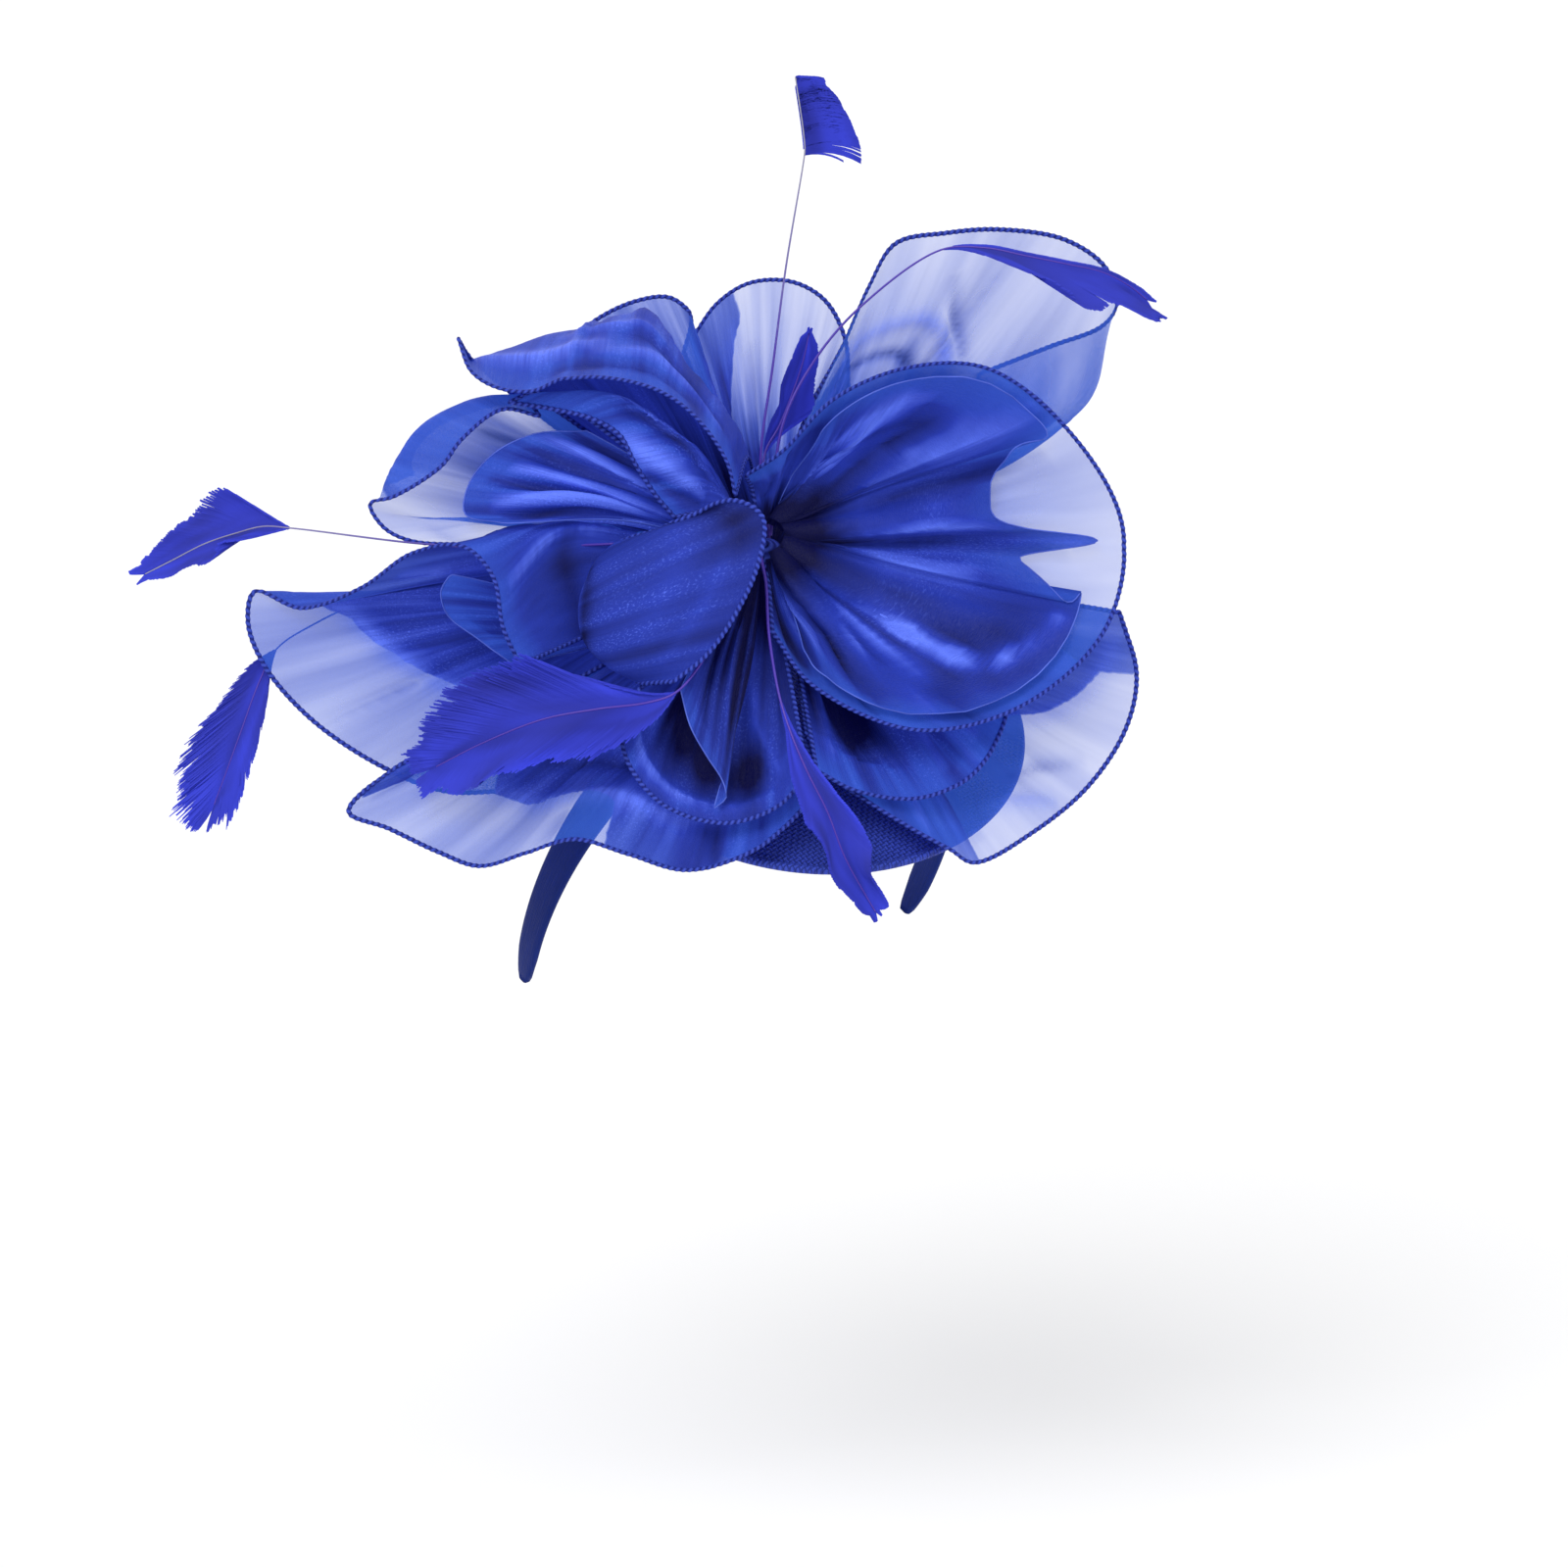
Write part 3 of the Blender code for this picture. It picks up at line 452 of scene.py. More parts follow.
# %% [markdown]
# ## Ruffles and a lining
#
# Two short ruffles fill the flower's back. They stand round the core, so their crests and hems are given
# by angle, reach and depth. The dark inner layer of the large right petal is a lining. It could have
# ribs of its own, but it has to stay close to its host, so it is given by what it follows there: the
# share along the host's hem, how far down it reaches and its gap from the host.

# %% Ruffle and lining tables
Spread = namedtuple("Spread", "degrees crest_reach crest_depth hem_reach hem_depth")
Ruffle = namedtuple("Ruffle", "folds fold_height layers roots spreads")
Follow = namedtuple("Follow", "along reach gap")
Lining = namedtuple("Lining", "host folds fold_height layers follows")

RUFFLES = {
    "back_left_petal": Ruffle(3, 1.2, 2.0, rows_of(Root, (0, 100, 33), (1, 172, 31)), rows_of(
        Spread,
        (88, 20, 33, 36, 60), (112, 24, 31, 43, 56), (135, 26, 32, 41, 59), (158, 28, 31, 47, 50),
        (180, 26, 34, 44, 46))),
    "back_right_petal": Ruffle(3, 1.2, 2.0, rows_of(Root, (0, 86, 37), (1, 14, 32)), rows_of(
        Spread,
        (100, 18, 39, 34, 66), (76, 22, 35, 39, 60), (52, 26, 33, 42, 62), (30, 28, 34, 50, 58),
        (12, 28, 36, 50, 60))),
}

LININGS = {
    "right_inner": Lining("right_petal", 4, 0.7, 2.0, rows_of(
        Follow,
        (0.10, 0.92, 4), (0.22, 0.96, 3), (0.31, 0.97, 3), (0.35, 0.97, 3), (0.385, 0.80, 4),
        (0.42, 0.68, 4), (0.46, 0.64, 4), (0.485, 0.72, 4), (0.507, 0.94, 4), (0.53, 0.70, 4),
        (0.55, 0.76, 4), (0.575, 0.85, 4), (0.60, 0.92, 3), (0.70, 0.96, 3), (0.86, 0.94, 3),
        (0.95, 0.86, 4))),
}
print(len(RUFFLES), "ruffles behind,", len(LININGS), "lining")

# %% [markdown]
# ## Creases, shades and laps
#
# Stiff, springy organza doesn't hang in even waves. It breaks into creases, some sharp and some broad,
# which fan out from the core or run along the hem. They could be sculpted, but as curves in a table
# each can be moved or sharpened by changing a number. A crease is given by its places on the sheet: the
# share along the hem and the share down from the core. Its height is towards the viewer, and a valley
# has a negative height, and the finish paints a gleam on a crease that stands proud and shade in a
# valley. Shades have the same form and move nothing: they are painted shade and painted light, which
# only darken or lighten the cloth where it turns away or lies deep in the flower. A lap is a patch
# where the cloth lies double, given by its corners.

# %% Crease table
Crease = namedtuple("Crease", "height width places")


def tables_of(kind, tables):
    """Give every row of several tables its column names."""
    return {name: rows_of(kind, *rows) for name, rows in tables.items()}


CREASES = tables_of(Crease, {
    "right_petal": [
        (3.5, 6.0, ((0.20, 0.15), (0.22, 0.9))),
        (-4.0, 4.0, ((0.28, 0.10), (0.29, 0.5), (0.27, 0.8))),
        (3.0, 4.0, ((0.34, 0.2), (0.345, 1.0))),
        (-2.5, 4.0, ((0.41, 0.1), (0.40, 0.9))),
        (1.6, 1.2, ((0.13, 0.15), (0.15, 0.85))),
        (1.6, 1.2, ((0.25, 0.1), (0.258, 0.8))),
        (1.8, 1.4, ((0.805, 0.1), (0.78, 0.5), (0.735, 0.95))),
        (2.4, 1.5, ((0.485, 0.05), (0.475, 0.4), (0.485, 0.72))),
        (-3.0, 3.5, ((0.52, 0.1), (0.51, 0.5), (0.515, 0.85))),
        (2.0, 6.0, ((0.58, 0.1), (0.57, 0.6))),
        (-2.2, 5.0, ((0.665, 0.12), (0.655, 0.40), (0.67, 0.60), (0.655, 0.74), (0.62, 0.78))),
        (4.5, 2.6, ((0.70, 0.10), (0.69, 0.36), (0.71, 0.59), (0.70, 0.73), (0.675, 0.83), (0.63, 0.87),
                    (0.57, 0.87))),
        (3.0, 3.0, ((0.77, 0.12), (0.755, 0.55), (0.74, 0.92))),
        (-2.0, 2.0, ((0.80, 0.3), (0.75, 1.0))),
        (2.0, 2.0, ((0.83, 0.3), (0.785, 1.0))),
        (-4.0, 3.5, ((0.88, 0.15), (0.85, 0.95))),
        (2.5, 3.0, ((0.93, 0.2), (0.91, 0.95)))],
    "upper_right_petal": [
        (-2.4, 2.5, ((0.36, 0.88), (0.42, 0.75), (0.54, 0.62))),
        (3.0, 3.5, ((0.16, 0.66), (0.34, 0.74), (0.48, 0.62), (0.54, 0.40))),
        (-3.0, 2.6, ((0.14, 0.58), (0.32, 0.64), (0.44, 0.54), (0.48, 0.36))),
        (2.5, 3.5, ((0.12, 0.2), (0.16, 0.75))),
        (-2.0, 3.0, ((0.24, 0.15), (0.26, 0.5)))],
    "top_petal": [
        (-1.5, 3.0, ((0.25, 0.2), (0.3, 0.8))),
        (1.5, 3.0, ((0.75, 0.2), (0.7, 0.7)))],
    "top_left_petal": [
        (2.0, 4.0, ((0.3, 0.3), (0.35, 0.95))),
        (-2.0, 3.0, ((0.5, 0.3), (0.52, 0.8)))],
    "upper_left_petal": [
        (2.2, 3.5, ((0.08, 0.88), (0.3, 0.87), (0.5, 0.86))),
        (-1.8, 2.5, ((0.25, 0.94), (0.5, 0.93), (0.78, 0.92))),
        (1.8, 2.5, ((0.42, 0.91), (0.65, 0.88), (0.88, 0.87))),
        (-2.0, 3.0, ((0.5, 0.83), (0.7, 0.81), (0.92, 0.82))),
        (1.5, 2.0, ((0.3, 0.80), (0.5, 0.79), (0.7, 0.77)))],
    "upper_left_inner": [
        (3.0, 5.0, ((0.5, 1.05), (0.7, 0.88), (0.92, 0.62))),
        (-3.0, 3.5, ((0.35, 0.86), (0.58, 0.74), (0.8, 0.5))),
        (2.0, 2.5, ((0.25, 0.8), (0.5, 0.66), (0.7, 0.45))),
        (-2.0, 2.5, ((0.75, 1.0), (0.88, 0.86), (0.97, 0.7)))],
    "left_petal": [
        (1.5, 3.5, ((0.05, 0.88), (0.2, 0.85), (0.34, 0.9))),
        (-1.5, 3.0, ((0.45, 0.86), (0.55, 0.9), (0.7, 0.9))),
        (-1.5, 3.0, ((0.1, 0.4), (0.14, 0.65)))],
    "left_inner": [
        (-3.0, 3.5, ((0.10, 1.0), (0.14, 0.6), (0.28, 0.25))),
        (3.0, 4.0, ((0.22, 1.0), (0.26, 0.6), (0.36, 0.25))),
        (-3.5, 3.0, ((0.36, 0.95), (0.42, 0.62), (0.46, 0.25))),
        (3.5, 3.0, ((0.50, 0.92), (0.50, 0.6), (0.52, 0.25))),
        (-3.5, 2.5, ((0.60, 0.95), (0.57, 0.6), (0.60, 0.3))),
        (3.5, 3.0, ((0.74, 0.92), (0.66, 0.65), (0.68, 0.3))),
        (-3.0, 2.0, ((0.85, 0.9), (0.76, 0.6), (0.76, 0.3))),
        (2.5, 2.0, ((0.95, 0.9), (0.87, 0.6), (0.84, 0.3)))],
    "low_left_scroll": [
        (2.0, 4.0, ((0.15, 0.72), (0.35, 0.75), (0.46, 0.8), (0.50, 0.95))),
        (-2.0, 3.0, ((0.3, 0.3), (0.36, 0.7))),
        (-2.0, 3.0, ((0.56, 0.5), (0.58, 0.8), (0.57, 1.0))),
        (2.0, 2.5, ((0.66, 0.5), (0.68, 0.95))),
        (2.0, 3.0, ((0.90, 0.4), (0.90, 0.95))),
        (-2.0, 3.0, ((0.80, 0.4), (0.79, 0.85)))],
    "low_left_inner": [
        (-3.0, 5.0, ((0.5, 0.3), (0.5, 0.95))),
        (1.5, 2.5, ((0.2, 0.4), (0.15, 0.95)))],
    "front_petal": [
        (1.0, 6.0, ((0.15, 0.86), (0.45, 0.80), (0.75, 0.76))),
        (-2.5, 6.0, ((0.05, 0.97), (0.25, 0.95), (0.5, 0.9))),
        (1.2, 3.0, ((0.3, 0.9), (0.55, 0.9), (0.9, 0.86)))],
    "bottom_petal": [
        (2.5, 4.5, ((0.25, 0.80), (0.42, 0.78), (0.62, 0.82), (0.9, 0.80))),
        (-3.0, 4.0, ((0.28, 0.66), (0.45, 0.64), (0.66, 0.70), (0.9, 0.66))),
        (-2.0, 2.0, ((0.16, 0.5), (0.2, 0.95))),
        (2.0, 3.0, ((0.1, 0.6), (0.13, 1.0))),
        (-1.5, 2.5, ((0.5, 0.8), (0.52, 1.0))),
        (-1.5, 2.5, ((0.78, 0.82), (0.8, 1.0)))],
    "swirl_petal": [
        (-3.0, 12.0, ((0.35, 0.35), (0.5, 0.68), (0.66, 0.80), (0.85, 0.75))),
        (2.5, 2.5, ((0.1, 0.8), (0.26, 0.9), (0.45, 0.93), (0.65, 0.94), (0.9, 0.93))),
        (3.0, 3.0, ((0.25, 0.2), (0.28, 0.6), (0.3, 0.85))),
        (2.5, 2.5, ((0.72, 0.2), (0.78, 0.55), (0.88, 0.9)))],
    "swirl_curl": [
        (-2.5, 3.5, ((0.35, 0.3), (0.4, 0.9))),
        (2.0, 1.5, ((0.7, 0.3), (0.75, 0.95)))],
    "lower_petal": [
        (-5.0, 9.0, ((0.55, 0.1), (0.66, 0.5), (0.74, 0.85))),
        (2.5, 2.5, ((0.42, 0.3), (0.44, 0.95))),
        (-2.0, 2.5, ((0.40, 0.3), (0.38, 0.95))),
        (2.0, 2.5, ((0.27, 0.3), (0.25, 0.95))),
        (2.0, 2.5, ((0.88, 0.2), (0.9, 0.9)))],
    "lower_right_petal": [
        (2.0, 3.5, ((0.02, 0.98), (0.13, 0.90), (0.26, 0.80), (0.36, 0.68))),
        (-1.8, 2.5, ((0.30, 0.95), (0.38, 0.85), (0.47, 0.80))),
        (1.8, 2.5, ((0.40, 0.98), (0.46, 0.90), (0.54, 0.86))),
        (-2.0, 3.0, ((0.58, 0.4), (0.57, 0.95))),
        (1.8, 2.0, ((0.72, 0.5), (0.70, 1.0))),
        (-4.0, 9.0, ((0.75, 0.2), (0.80, 0.85)))],
})
print(sum(len(rows) for rows in CREASES.values()), "creases on", len(CREASES), "petals")

# %% Shade table
SHADES = tables_of(Crease, {
    "right_petal": [
        (-2.6, 4.0, ((0.16, 0.12), (0.20, 0.45), (0.26, 0.62), (0.33, 0.70))),
        (2.4, 3.5, ((0.15, 0.35), (0.19, 0.62), (0.235, 0.86))),
        (2.0, 2.5, ((0.24, 0.10), (0.30, 0.45), (0.36, 0.62))),
        (3.5, 2.0, ((0.70, 0.10), (0.69, 0.36), (0.71, 0.59), (0.70, 0.73), (0.675, 0.83), (0.63, 0.87),
                    (0.57, 0.86))),
        (-2.0, 3.4, ((0.735, 0.20), (0.725, 0.42), (0.745, 0.62), (0.73, 0.78), (0.70, 0.88),
                    (0.66, 0.93))),
        (-1.2, 8.0, ((0.62, 0.15), (0.63, 0.45), (0.655, 0.65), (0.62, 0.74), (0.56, 0.70))),
        (-4.0, 11.0, ((1.05, -0.2), (0.99, 0.4), (0.95, 0.75), (0.90, 1.0)))],
    "upper_right_petal": [
        (-1.2, 24.0, ((0.84, 0.2), (0.86, 0.6), (0.90, 1.1)))],
    "front_petal": [
        (-1.3, 60.0, ((0.4, 0.5), (0.5, 0.9), (0.6, 1.4))),
        (-3.2, 6.0, ((-0.2, 0.55), (0.3, 0.54), (0.6, 0.55), (1.2, 0.58)))],
    "swirl_petal": [
        (-2.2, 15.0, ((0.3, 0.3), (0.5, 0.62), (0.66, 0.74), (0.9, 0.7))),
        (-2.0, 10.0, ((0.22, 0.3), (0.32, 0.66), (0.42, 0.90))),
        (-3.5, 18.0, ((1.1, -0.4), (0.9, 0.3), (1.0, 0.8)))],
    "swirl_curl": [
        (-4.0, 26.0, ((0.7, -0.4), (0.8, 0.4), (1.0, 1.0)))],
    "lower_petal": [
        (-2.0, 13.0, ((0.95, -0.3), (0.8, 0.4), (0.62, 0.72), (0.3, 0.75))),
        (-4.0, 16.0, ((1.1, -0.4), (1.0, 0.4), (0.9, 0.8)))],
    "lower_right_petal": [
        (-5.0, 9.0, ((0.7, 0.1), (0.72, 0.5), (0.78, 0.8)))],
    "bottom_petal": [
        (-3.0, 9.0, ((0.5, 0.4), (0.7, 0.5), (1.0, 0.5)))],
    "low_left_scroll": [
        (-2.4, 10.0, ((0.80, 0.58), (0.90, 0.62), (0.96, 0.64), (1.10, 0.70)))],
    "low_left_inner": [
        (-3.0, 9.0, ((0.4, 0.2), (0.5, 0.5), (0.6, 0.7)))],
})
print(sum(len(rows) for rows in SHADES.values()), "shades on", len(SHADES), "petals")

# %% Lap table
LAPS = {
    "right_petal": [((-0.1, 0.2), (-0.1, 1.1), (0.36, 1.1), (0.375, 0.9), (0.36, 0.2)),
                    ((0.60, 0.2), (0.60, 0.75), (0.63, 0.9), (0.65, 1.1), (1.1, 1.1), (1.1, 0.2))],
    "top_petal": [((-0.1, 0.2), (-0.1, 1.1), (0.22, 1.1), (0.27, 0.9), (0.10, 0.5), (0.1, 0.2)),
                  ((0.78, 0.2), (0.80, 0.7), (0.9, 1.1), (1.1, 1.1), (1.1, 0.2))],
    "left_petal": [((-0.1, 0.74), (-0.1, 1.1), (0.36, 1.1), (0.34, 0.84), (0.30, 0.74))],
    "low_left_scroll": [((-0.1, 0.1), (-0.1, 0.5), (0.1, 0.6), (0.2, 0.70), (0.35, 0.75), (0.45, 0.80),
                         (0.50, 0.92), (0.53, 1.1), (1.1, 1.1), (1.1, 0.1))],
    "bottom_petal": [((0.22, 0.2), (0.27, 0.70), (0.34, 0.80), (0.5, 0.78), (0.60, 0.84), (0.64, 1.1),
                      (1.1, 1.1), (1.1, 0.2)),
                     ((-0.1, 0.6), (-0.1, 1.1), (0.10, 1.1), (0.18, 0.97), (0.19, 0.86), (0.1, 0.7))],
    "lower_right_petal": [((-0.1, 0.2), (-0.1, 1.1), (0.10, 1.1), (0.13, 0.9), (0.25, 0.8), (0.33, 0.7),
                           (0.4, 0.2)),
                          ((0.60, 0.2), (0.58, 0.8), (0.60, 1.1), (1.1, 1.1), (1.1, 0.2))],
}
print(sum(len(rows) for rows in LAPS.values()), "laps on", len(LAPS), "petals")

# %% [markdown]
# ## From ribs to cloth
#
# The ribs give a grid: columns along the hem, rows from the core to the hem. A mesh with a displacement
# modifier could carry the folds, but on a grid of points each kind is one line of arithmetic, pushed
# out along the grid's normals. The wide folds of a petal come first.

# %% Grids and wide folds
FOLD_RISE = 0.6  # power of the share down the cloth: below 1, folds are highest nearer the core
FOLD_ENDS = 1.2  # power of a fold's fading: above 1, it ends more gently
FOLD_SIDES = 6  # folds have their full height a sixth of the hem away from both end ribs


def unit(vectors):
    """Vectors with a length of one."""
    return vectors / np.linalg.norm(vectors, axis=-1, keepdims=True)


def grid_normals(grid):
    """Unit normal at each point of a grid."""
    return unit(np.cross(np.gradient(grid, axis=0), np.gradient(grid, axis=1)))


def area_of(grid):
    """Area of a grid's quads."""
    across, down = np.diff(grid, axis=0), np.diff(grid, axis=1)
    crossed = np.cross(across[:, 1:] + across[:, :-1], down[1:] + down[:-1])
    return float(np.linalg.norm(crossed, axis=2).sum() / 4)


def shares_of(grid):
    """Share along the hem of each column, and share down from the core of each row."""
    return np.linspace(0, 1, grid.shape[0])[:, None], np.linspace(0, 1, grid.shape[1])[None, :]


def inner_share(along, steepness):
    """0 at both end ribs of a sheet, rising to 1 between them."""
    return np.minimum(1, steepness * np.minimum(along, 1 - along))


def folded(grid, folds, height):
    """Push radial folds into a grid: none at the core, at the hem or at the two end ribs."""
    along, down = shares_of(grid)
    fade = np.sin(pi * down ** FOLD_RISE).clip(0) ** FOLD_ENDS * inner_share(along, FOLD_SIDES)
    wave = height * np.sin(2 * pi * folds * along) * fade
    return grid + grid_normals(grid) * wave[:, :, None]


flat_grid = np.stack(np.meshgrid([0.0, 10, 20], [0.0, 5, 10], [0.0], indexing="ij"), axis=-1)[:, :, 0]
print("a flat grid of 20 by 10 mm has an area of", area_of(flat_grid), "mm2")

# %% A petal over its ribs
ORGANZA_WALL = 1.0  # mm, the solid petals' wall: the sheets are gathered at its middle


def root_points(roots, along, ahead):
    """Where the gathered edge lies on the core, some way ahead of the sheet's own place."""
    share, degrees, depth = np.array(roots, float).T
    turn = np.interp(along, share, degrees)
    down = np.interp(along, share, depth) - ahead
    return core_ring(turn, down, CORE_RADIUS + ORGANZA_WALL / 2)


def ribbed_grid(roots, crest, hem, columns, rows, sag):
    """A grid over ribs: columns along the hem, rows from the core over the crest to the hem."""
    before, share = stations_along(hem, columns + 1)
    along = (before + share) / (len(hem) - 1)
    root = root_points(roots, along, 0)
    crest = curve_through(crest, before, share)
    hem = curve_through(hem, before, share)
    grid = np.zeros((columns + 1, rows + 1, 3))
    for column, ends in enumerate(zip(root, crest, hem)):
        rib = np.array(ends)
        part, step = stations_along(rib, rows + 1)
        grid[column] = curve_through(rib, part, step)
        grid[column, :, 2] -= sag * np.sin(pi * np.clip(part + step, 0, 1))
    return grid


def sheet_grid(sheet, columns, rows):
    """A petal of the flower, over the ribs of its table."""
    table = np.array(sheet.ribs, float)
    grid = ribbed_grid(sheet.roots, table[:, :3], table[:, 3:], columns, rows, sheet.sag)
    return folded(grid, sheet.folds, sheet.fold_height)


def ruffle_grid(ruffle, columns, rows):
    """A ruffle behind the flower: it rises from the core and falls over the base."""
    degrees, crest_reach, crest_depth, hem_reach, hem_depth = np.array(ruffle.spreads, float).T
    crest = core_ring(degrees, crest_depth, crest_reach[:, None])
    hem = core_ring(degrees, hem_depth, hem_reach[:, None])
    grid = ribbed_grid(ruffle.roots, crest, hem, columns, rows, 0)
    return folded(grid, ruffle.folds, ruffle.fold_height)


trial = sheet_grid(SHEETS["right_petal"], 20, 10)
print("right petal's hem:", round(length_of(trial[:, -1])), "mm, its middle rib:",
      round(length_of(trial[10])), "mm")

# %% [markdown]
# ## Pleats and creases
#
# Where real organza is gathered it creases into fine pleats. Three families of narrow pleats stand for
# them, deep near the core and gone before the hem. Their depth goes with their width, because a pleat
# that narrows keeps its slope. Then come the creases of the table and a few narrow stray ones. Noise
# could crumple the cloth as well, but it makes dents, and organza breaks along lines. The stray
# creases come from a fixed seed, so the cloth is the same each time.

# %% Pleats
PLEAT_FAMILIES = ((7, 0.030), (13, 0.022), (23, 0.013))  # pleats across the petal, depth over width
PLEAT_FADE = 1.8  # how soon pleats fade on their way down
PLEAT_SIDES = 12  # pleats have their full depth a twelfth of the hem away from both end ribs
PLEAT_SWAY = 0.35  # how far pleats wander along the hem, in pleats
PLEAT_LEAN = 0.5  # and on their way down


def pleated(grid, seed):
    """Add the fine pleats of a gathered edge."""
    random = np.random.default_rng(seed)
    along, down = shares_of(grid)
    width = np.linalg.norm(np.diff(grid, axis=0), axis=2).sum(axis=0)[None, :]
    wave = np.zeros(grid.shape[:2])
    for count, slope in PLEAT_FAMILIES:
        stray = random.uniform(0, 2 * pi, 3)
        drift = PLEAT_SWAY * np.sin(2 * pi * along + stray[0])
        drift = drift + PLEAT_LEAN * down * np.sin(4 * pi * along + stray[1])
        wave += slope * width / count * np.sin(2 * pi * count * along + 2 * pi * drift + stray[2])
    wave *= (1 - down) ** PLEAT_FADE * inner_share(along, PLEAT_SIDES) * 2 * pi
    return grid + grid_normals(grid) * wave[:, :, None]


print(sum(count for count, _ in PLEAT_FAMILIES), "pleats in", len(PLEAT_FAMILIES), "families")

# %% Creases
CREASE_POINTS = 30
CREASE_ROOT = 0.25  # a crease's width at the core, over its width at the hem
CREASE_FADE = 0.35  # share down the cloth where a crease has its full height
CREASE_EDGE = 1.6  # power of its fall to both sides: 2 would be a rounder bell
CREASE_ENDS = 0.6  # power of its fall to both ends


def gaps_to(grid, places):
    """Distance over the sheet, in mm, from each point of a grid to each of some places."""
    width = np.linalg.norm(np.diff(grid, axis=0), axis=2).sum(axis=0)
    length = np.linalg.norm(np.diff(grid, axis=1), axis=2).sum(axis=1).mean()
    along, down = (share[:, :, None] for share in shares_of(grid))
    return np.hypot((along - places[:, 0]) * width[None, :, None], (down - places[:, 1]) * length)


def creased(grid, creases):
    """Push creases into a grid. Also gives, at each point, how far it stands proud, in mm."""
    normal = grid_normals(grid)
    _, down = shares_of(grid)
    shift, proud = np.zeros(grid.shape), np.zeros(grid.shape[:2])
    for crease in creases:
        places = smooth_line(np.array(crease.places, float), CREASE_POINTS)
        middle = places[CREASE_POINTS // 2].clip(0, 1) * (np.array(grid.shape[:2]) - 1)
        facing = np.sign(normal[tuple(middle.astype(int))][2])
        gaps = gaps_to(grid, places)
        share = gaps.argmin(axis=2) / (CREASE_POINTS - 1)
        width = crease.width * (CREASE_ROOT + (1 - CREASE_ROOT) * down)
        rise = crease.height * np.exp(-(gaps.min(axis=2) / width) ** CREASE_EDGE)
        rise = rise * np.sin(pi * share) ** CREASE_ENDS * np.minimum(1, down / CREASE_FADE)
        shift += normal * (facing * rise)[:, :, None]
        proud += rise
    return grid + shift, proud


_, trial_proud = creased(trial, CREASES["right_petal"])
print("the right petal's creases stand up to", trial_proud.max().round(1), "mm proud")

# %% Stray creases, and a finished sheet
STRAY_SPACING = 9.0  # mm of hem for each narrow crease
STRAY_ALONG = (0.02, 0.98)  # shares along the hem
STRAY_START = (0.05, 0.5)  # shares down the cloth
STRAY_REACH = (0.25, 0.6)  # how much further down it ends
STRAY_DRIFT = 0.02
STRAY_HEIGHT = (0.5, 1.3)
STRAY_WIDTH = (1.0, 2.2)
SMOOTH = ("front_petal",)  # sheets that curl over without stray creases or pleats
SEEDS = {name: index + 1 for index, name in enumerate([*SHEETS, *RUFFLES, *LININGS])}


def stray_creases(hem, seed):
    """Narrow creases that fan out from the core wherever the gathers put them."""
    random = np.random.default_rng(seed)
    strays = []
    for _ in range(round(hem / STRAY_SPACING)):
        along, down = random.uniform(*STRAY_ALONG), random.uniform(*STRAY_START)
        drift = random.normal(0, STRAY_DRIFT)
        reach = down + random.uniform(*STRAY_REACH)
        height = random.uniform(*STRAY_HEIGHT) * random.choice((-1, 1))
        width = random.uniform(*STRAY_WIDTH)
        places = ((along - drift, down), (along, (down + reach) / 2), (along + drift / 2, reach))
        strays.append(Crease(height, width, places))
    return strays


def finished(name, grid):
    """A sheet with its pleats and its creases. Also gives how far each point stands proud, with the painted
    shades of the shade table added.
    """
    creases = list(CREASES.get(name, []))
    if name not in SMOOTH:
        creases += stray_creases(length_of(grid[:, -1]), SEEDS[name])
        grid = pleated(grid, SEEDS[name])
    # painted shade and light: the shade table moves nothing and only adds to the proud heights that the
    # finish darkens or lightens
    _, shade = creased(grid, SHADES.get(name, []))
    bent, proud = creased(grid, creases)
    return bent, proud + shade


trial_bent, _ = finished("right_petal", trial)
print("creased, the right petal has", round(area_of(trial_bent) / area_of(trial), 2), "times its smooth area")

# %% Laps
LAP_POINTS = 24  # on each side of a lap
FAR = 50.0  # mm, outside every lap


def inside_of(along, down, corners):
    """Which points of a sheet lie inside the outline through the corners."""
    inside = np.zeros((along * down).shape, bool)
    for (x0, y0), (x1, y1) in zip(corners, corners[1:]):
        if y0 != y1:
            cross = x0 + (down - y0) / (y1 - y0) * (x1 - x0)
            inside ^= ((down < y0) != (down < y1)) & (along < cross)
    return inside


def lap_depth(grid, laps):
    """How far each point of a grid lies inside the nearest lap, in mm, negative outside."""
    depth = np.full(grid.shape[:2], -FAR)
    for lap in laps:
        corners = np.array(lap + lap[:1], float)
        edge = np.vstack([first + (last - first) * np.linspace(0, 1, LAP_POINTS)[:, None]
                          for first, last in zip(corners, corners[1:])])
        inside = inside_of(*shares_of(grid), corners)
        depth = np.maximum(depth, gaps_to(grid, edge).min(axis=2) * np.where(inside, 1, -1))
    return depth


trial_lapped = lap_depth(trial, LAPS["right_petal"]) > 0
print("the cloth lies double on", round(100 * trial_lapped.mean()), "% of the right petal")

# %% A lining on its host
LINING_FINE = (160, 60)  # columns and rows of the host that a lining reads
LINING_FADE = 3  # power with which it leaves the core's ring for its host


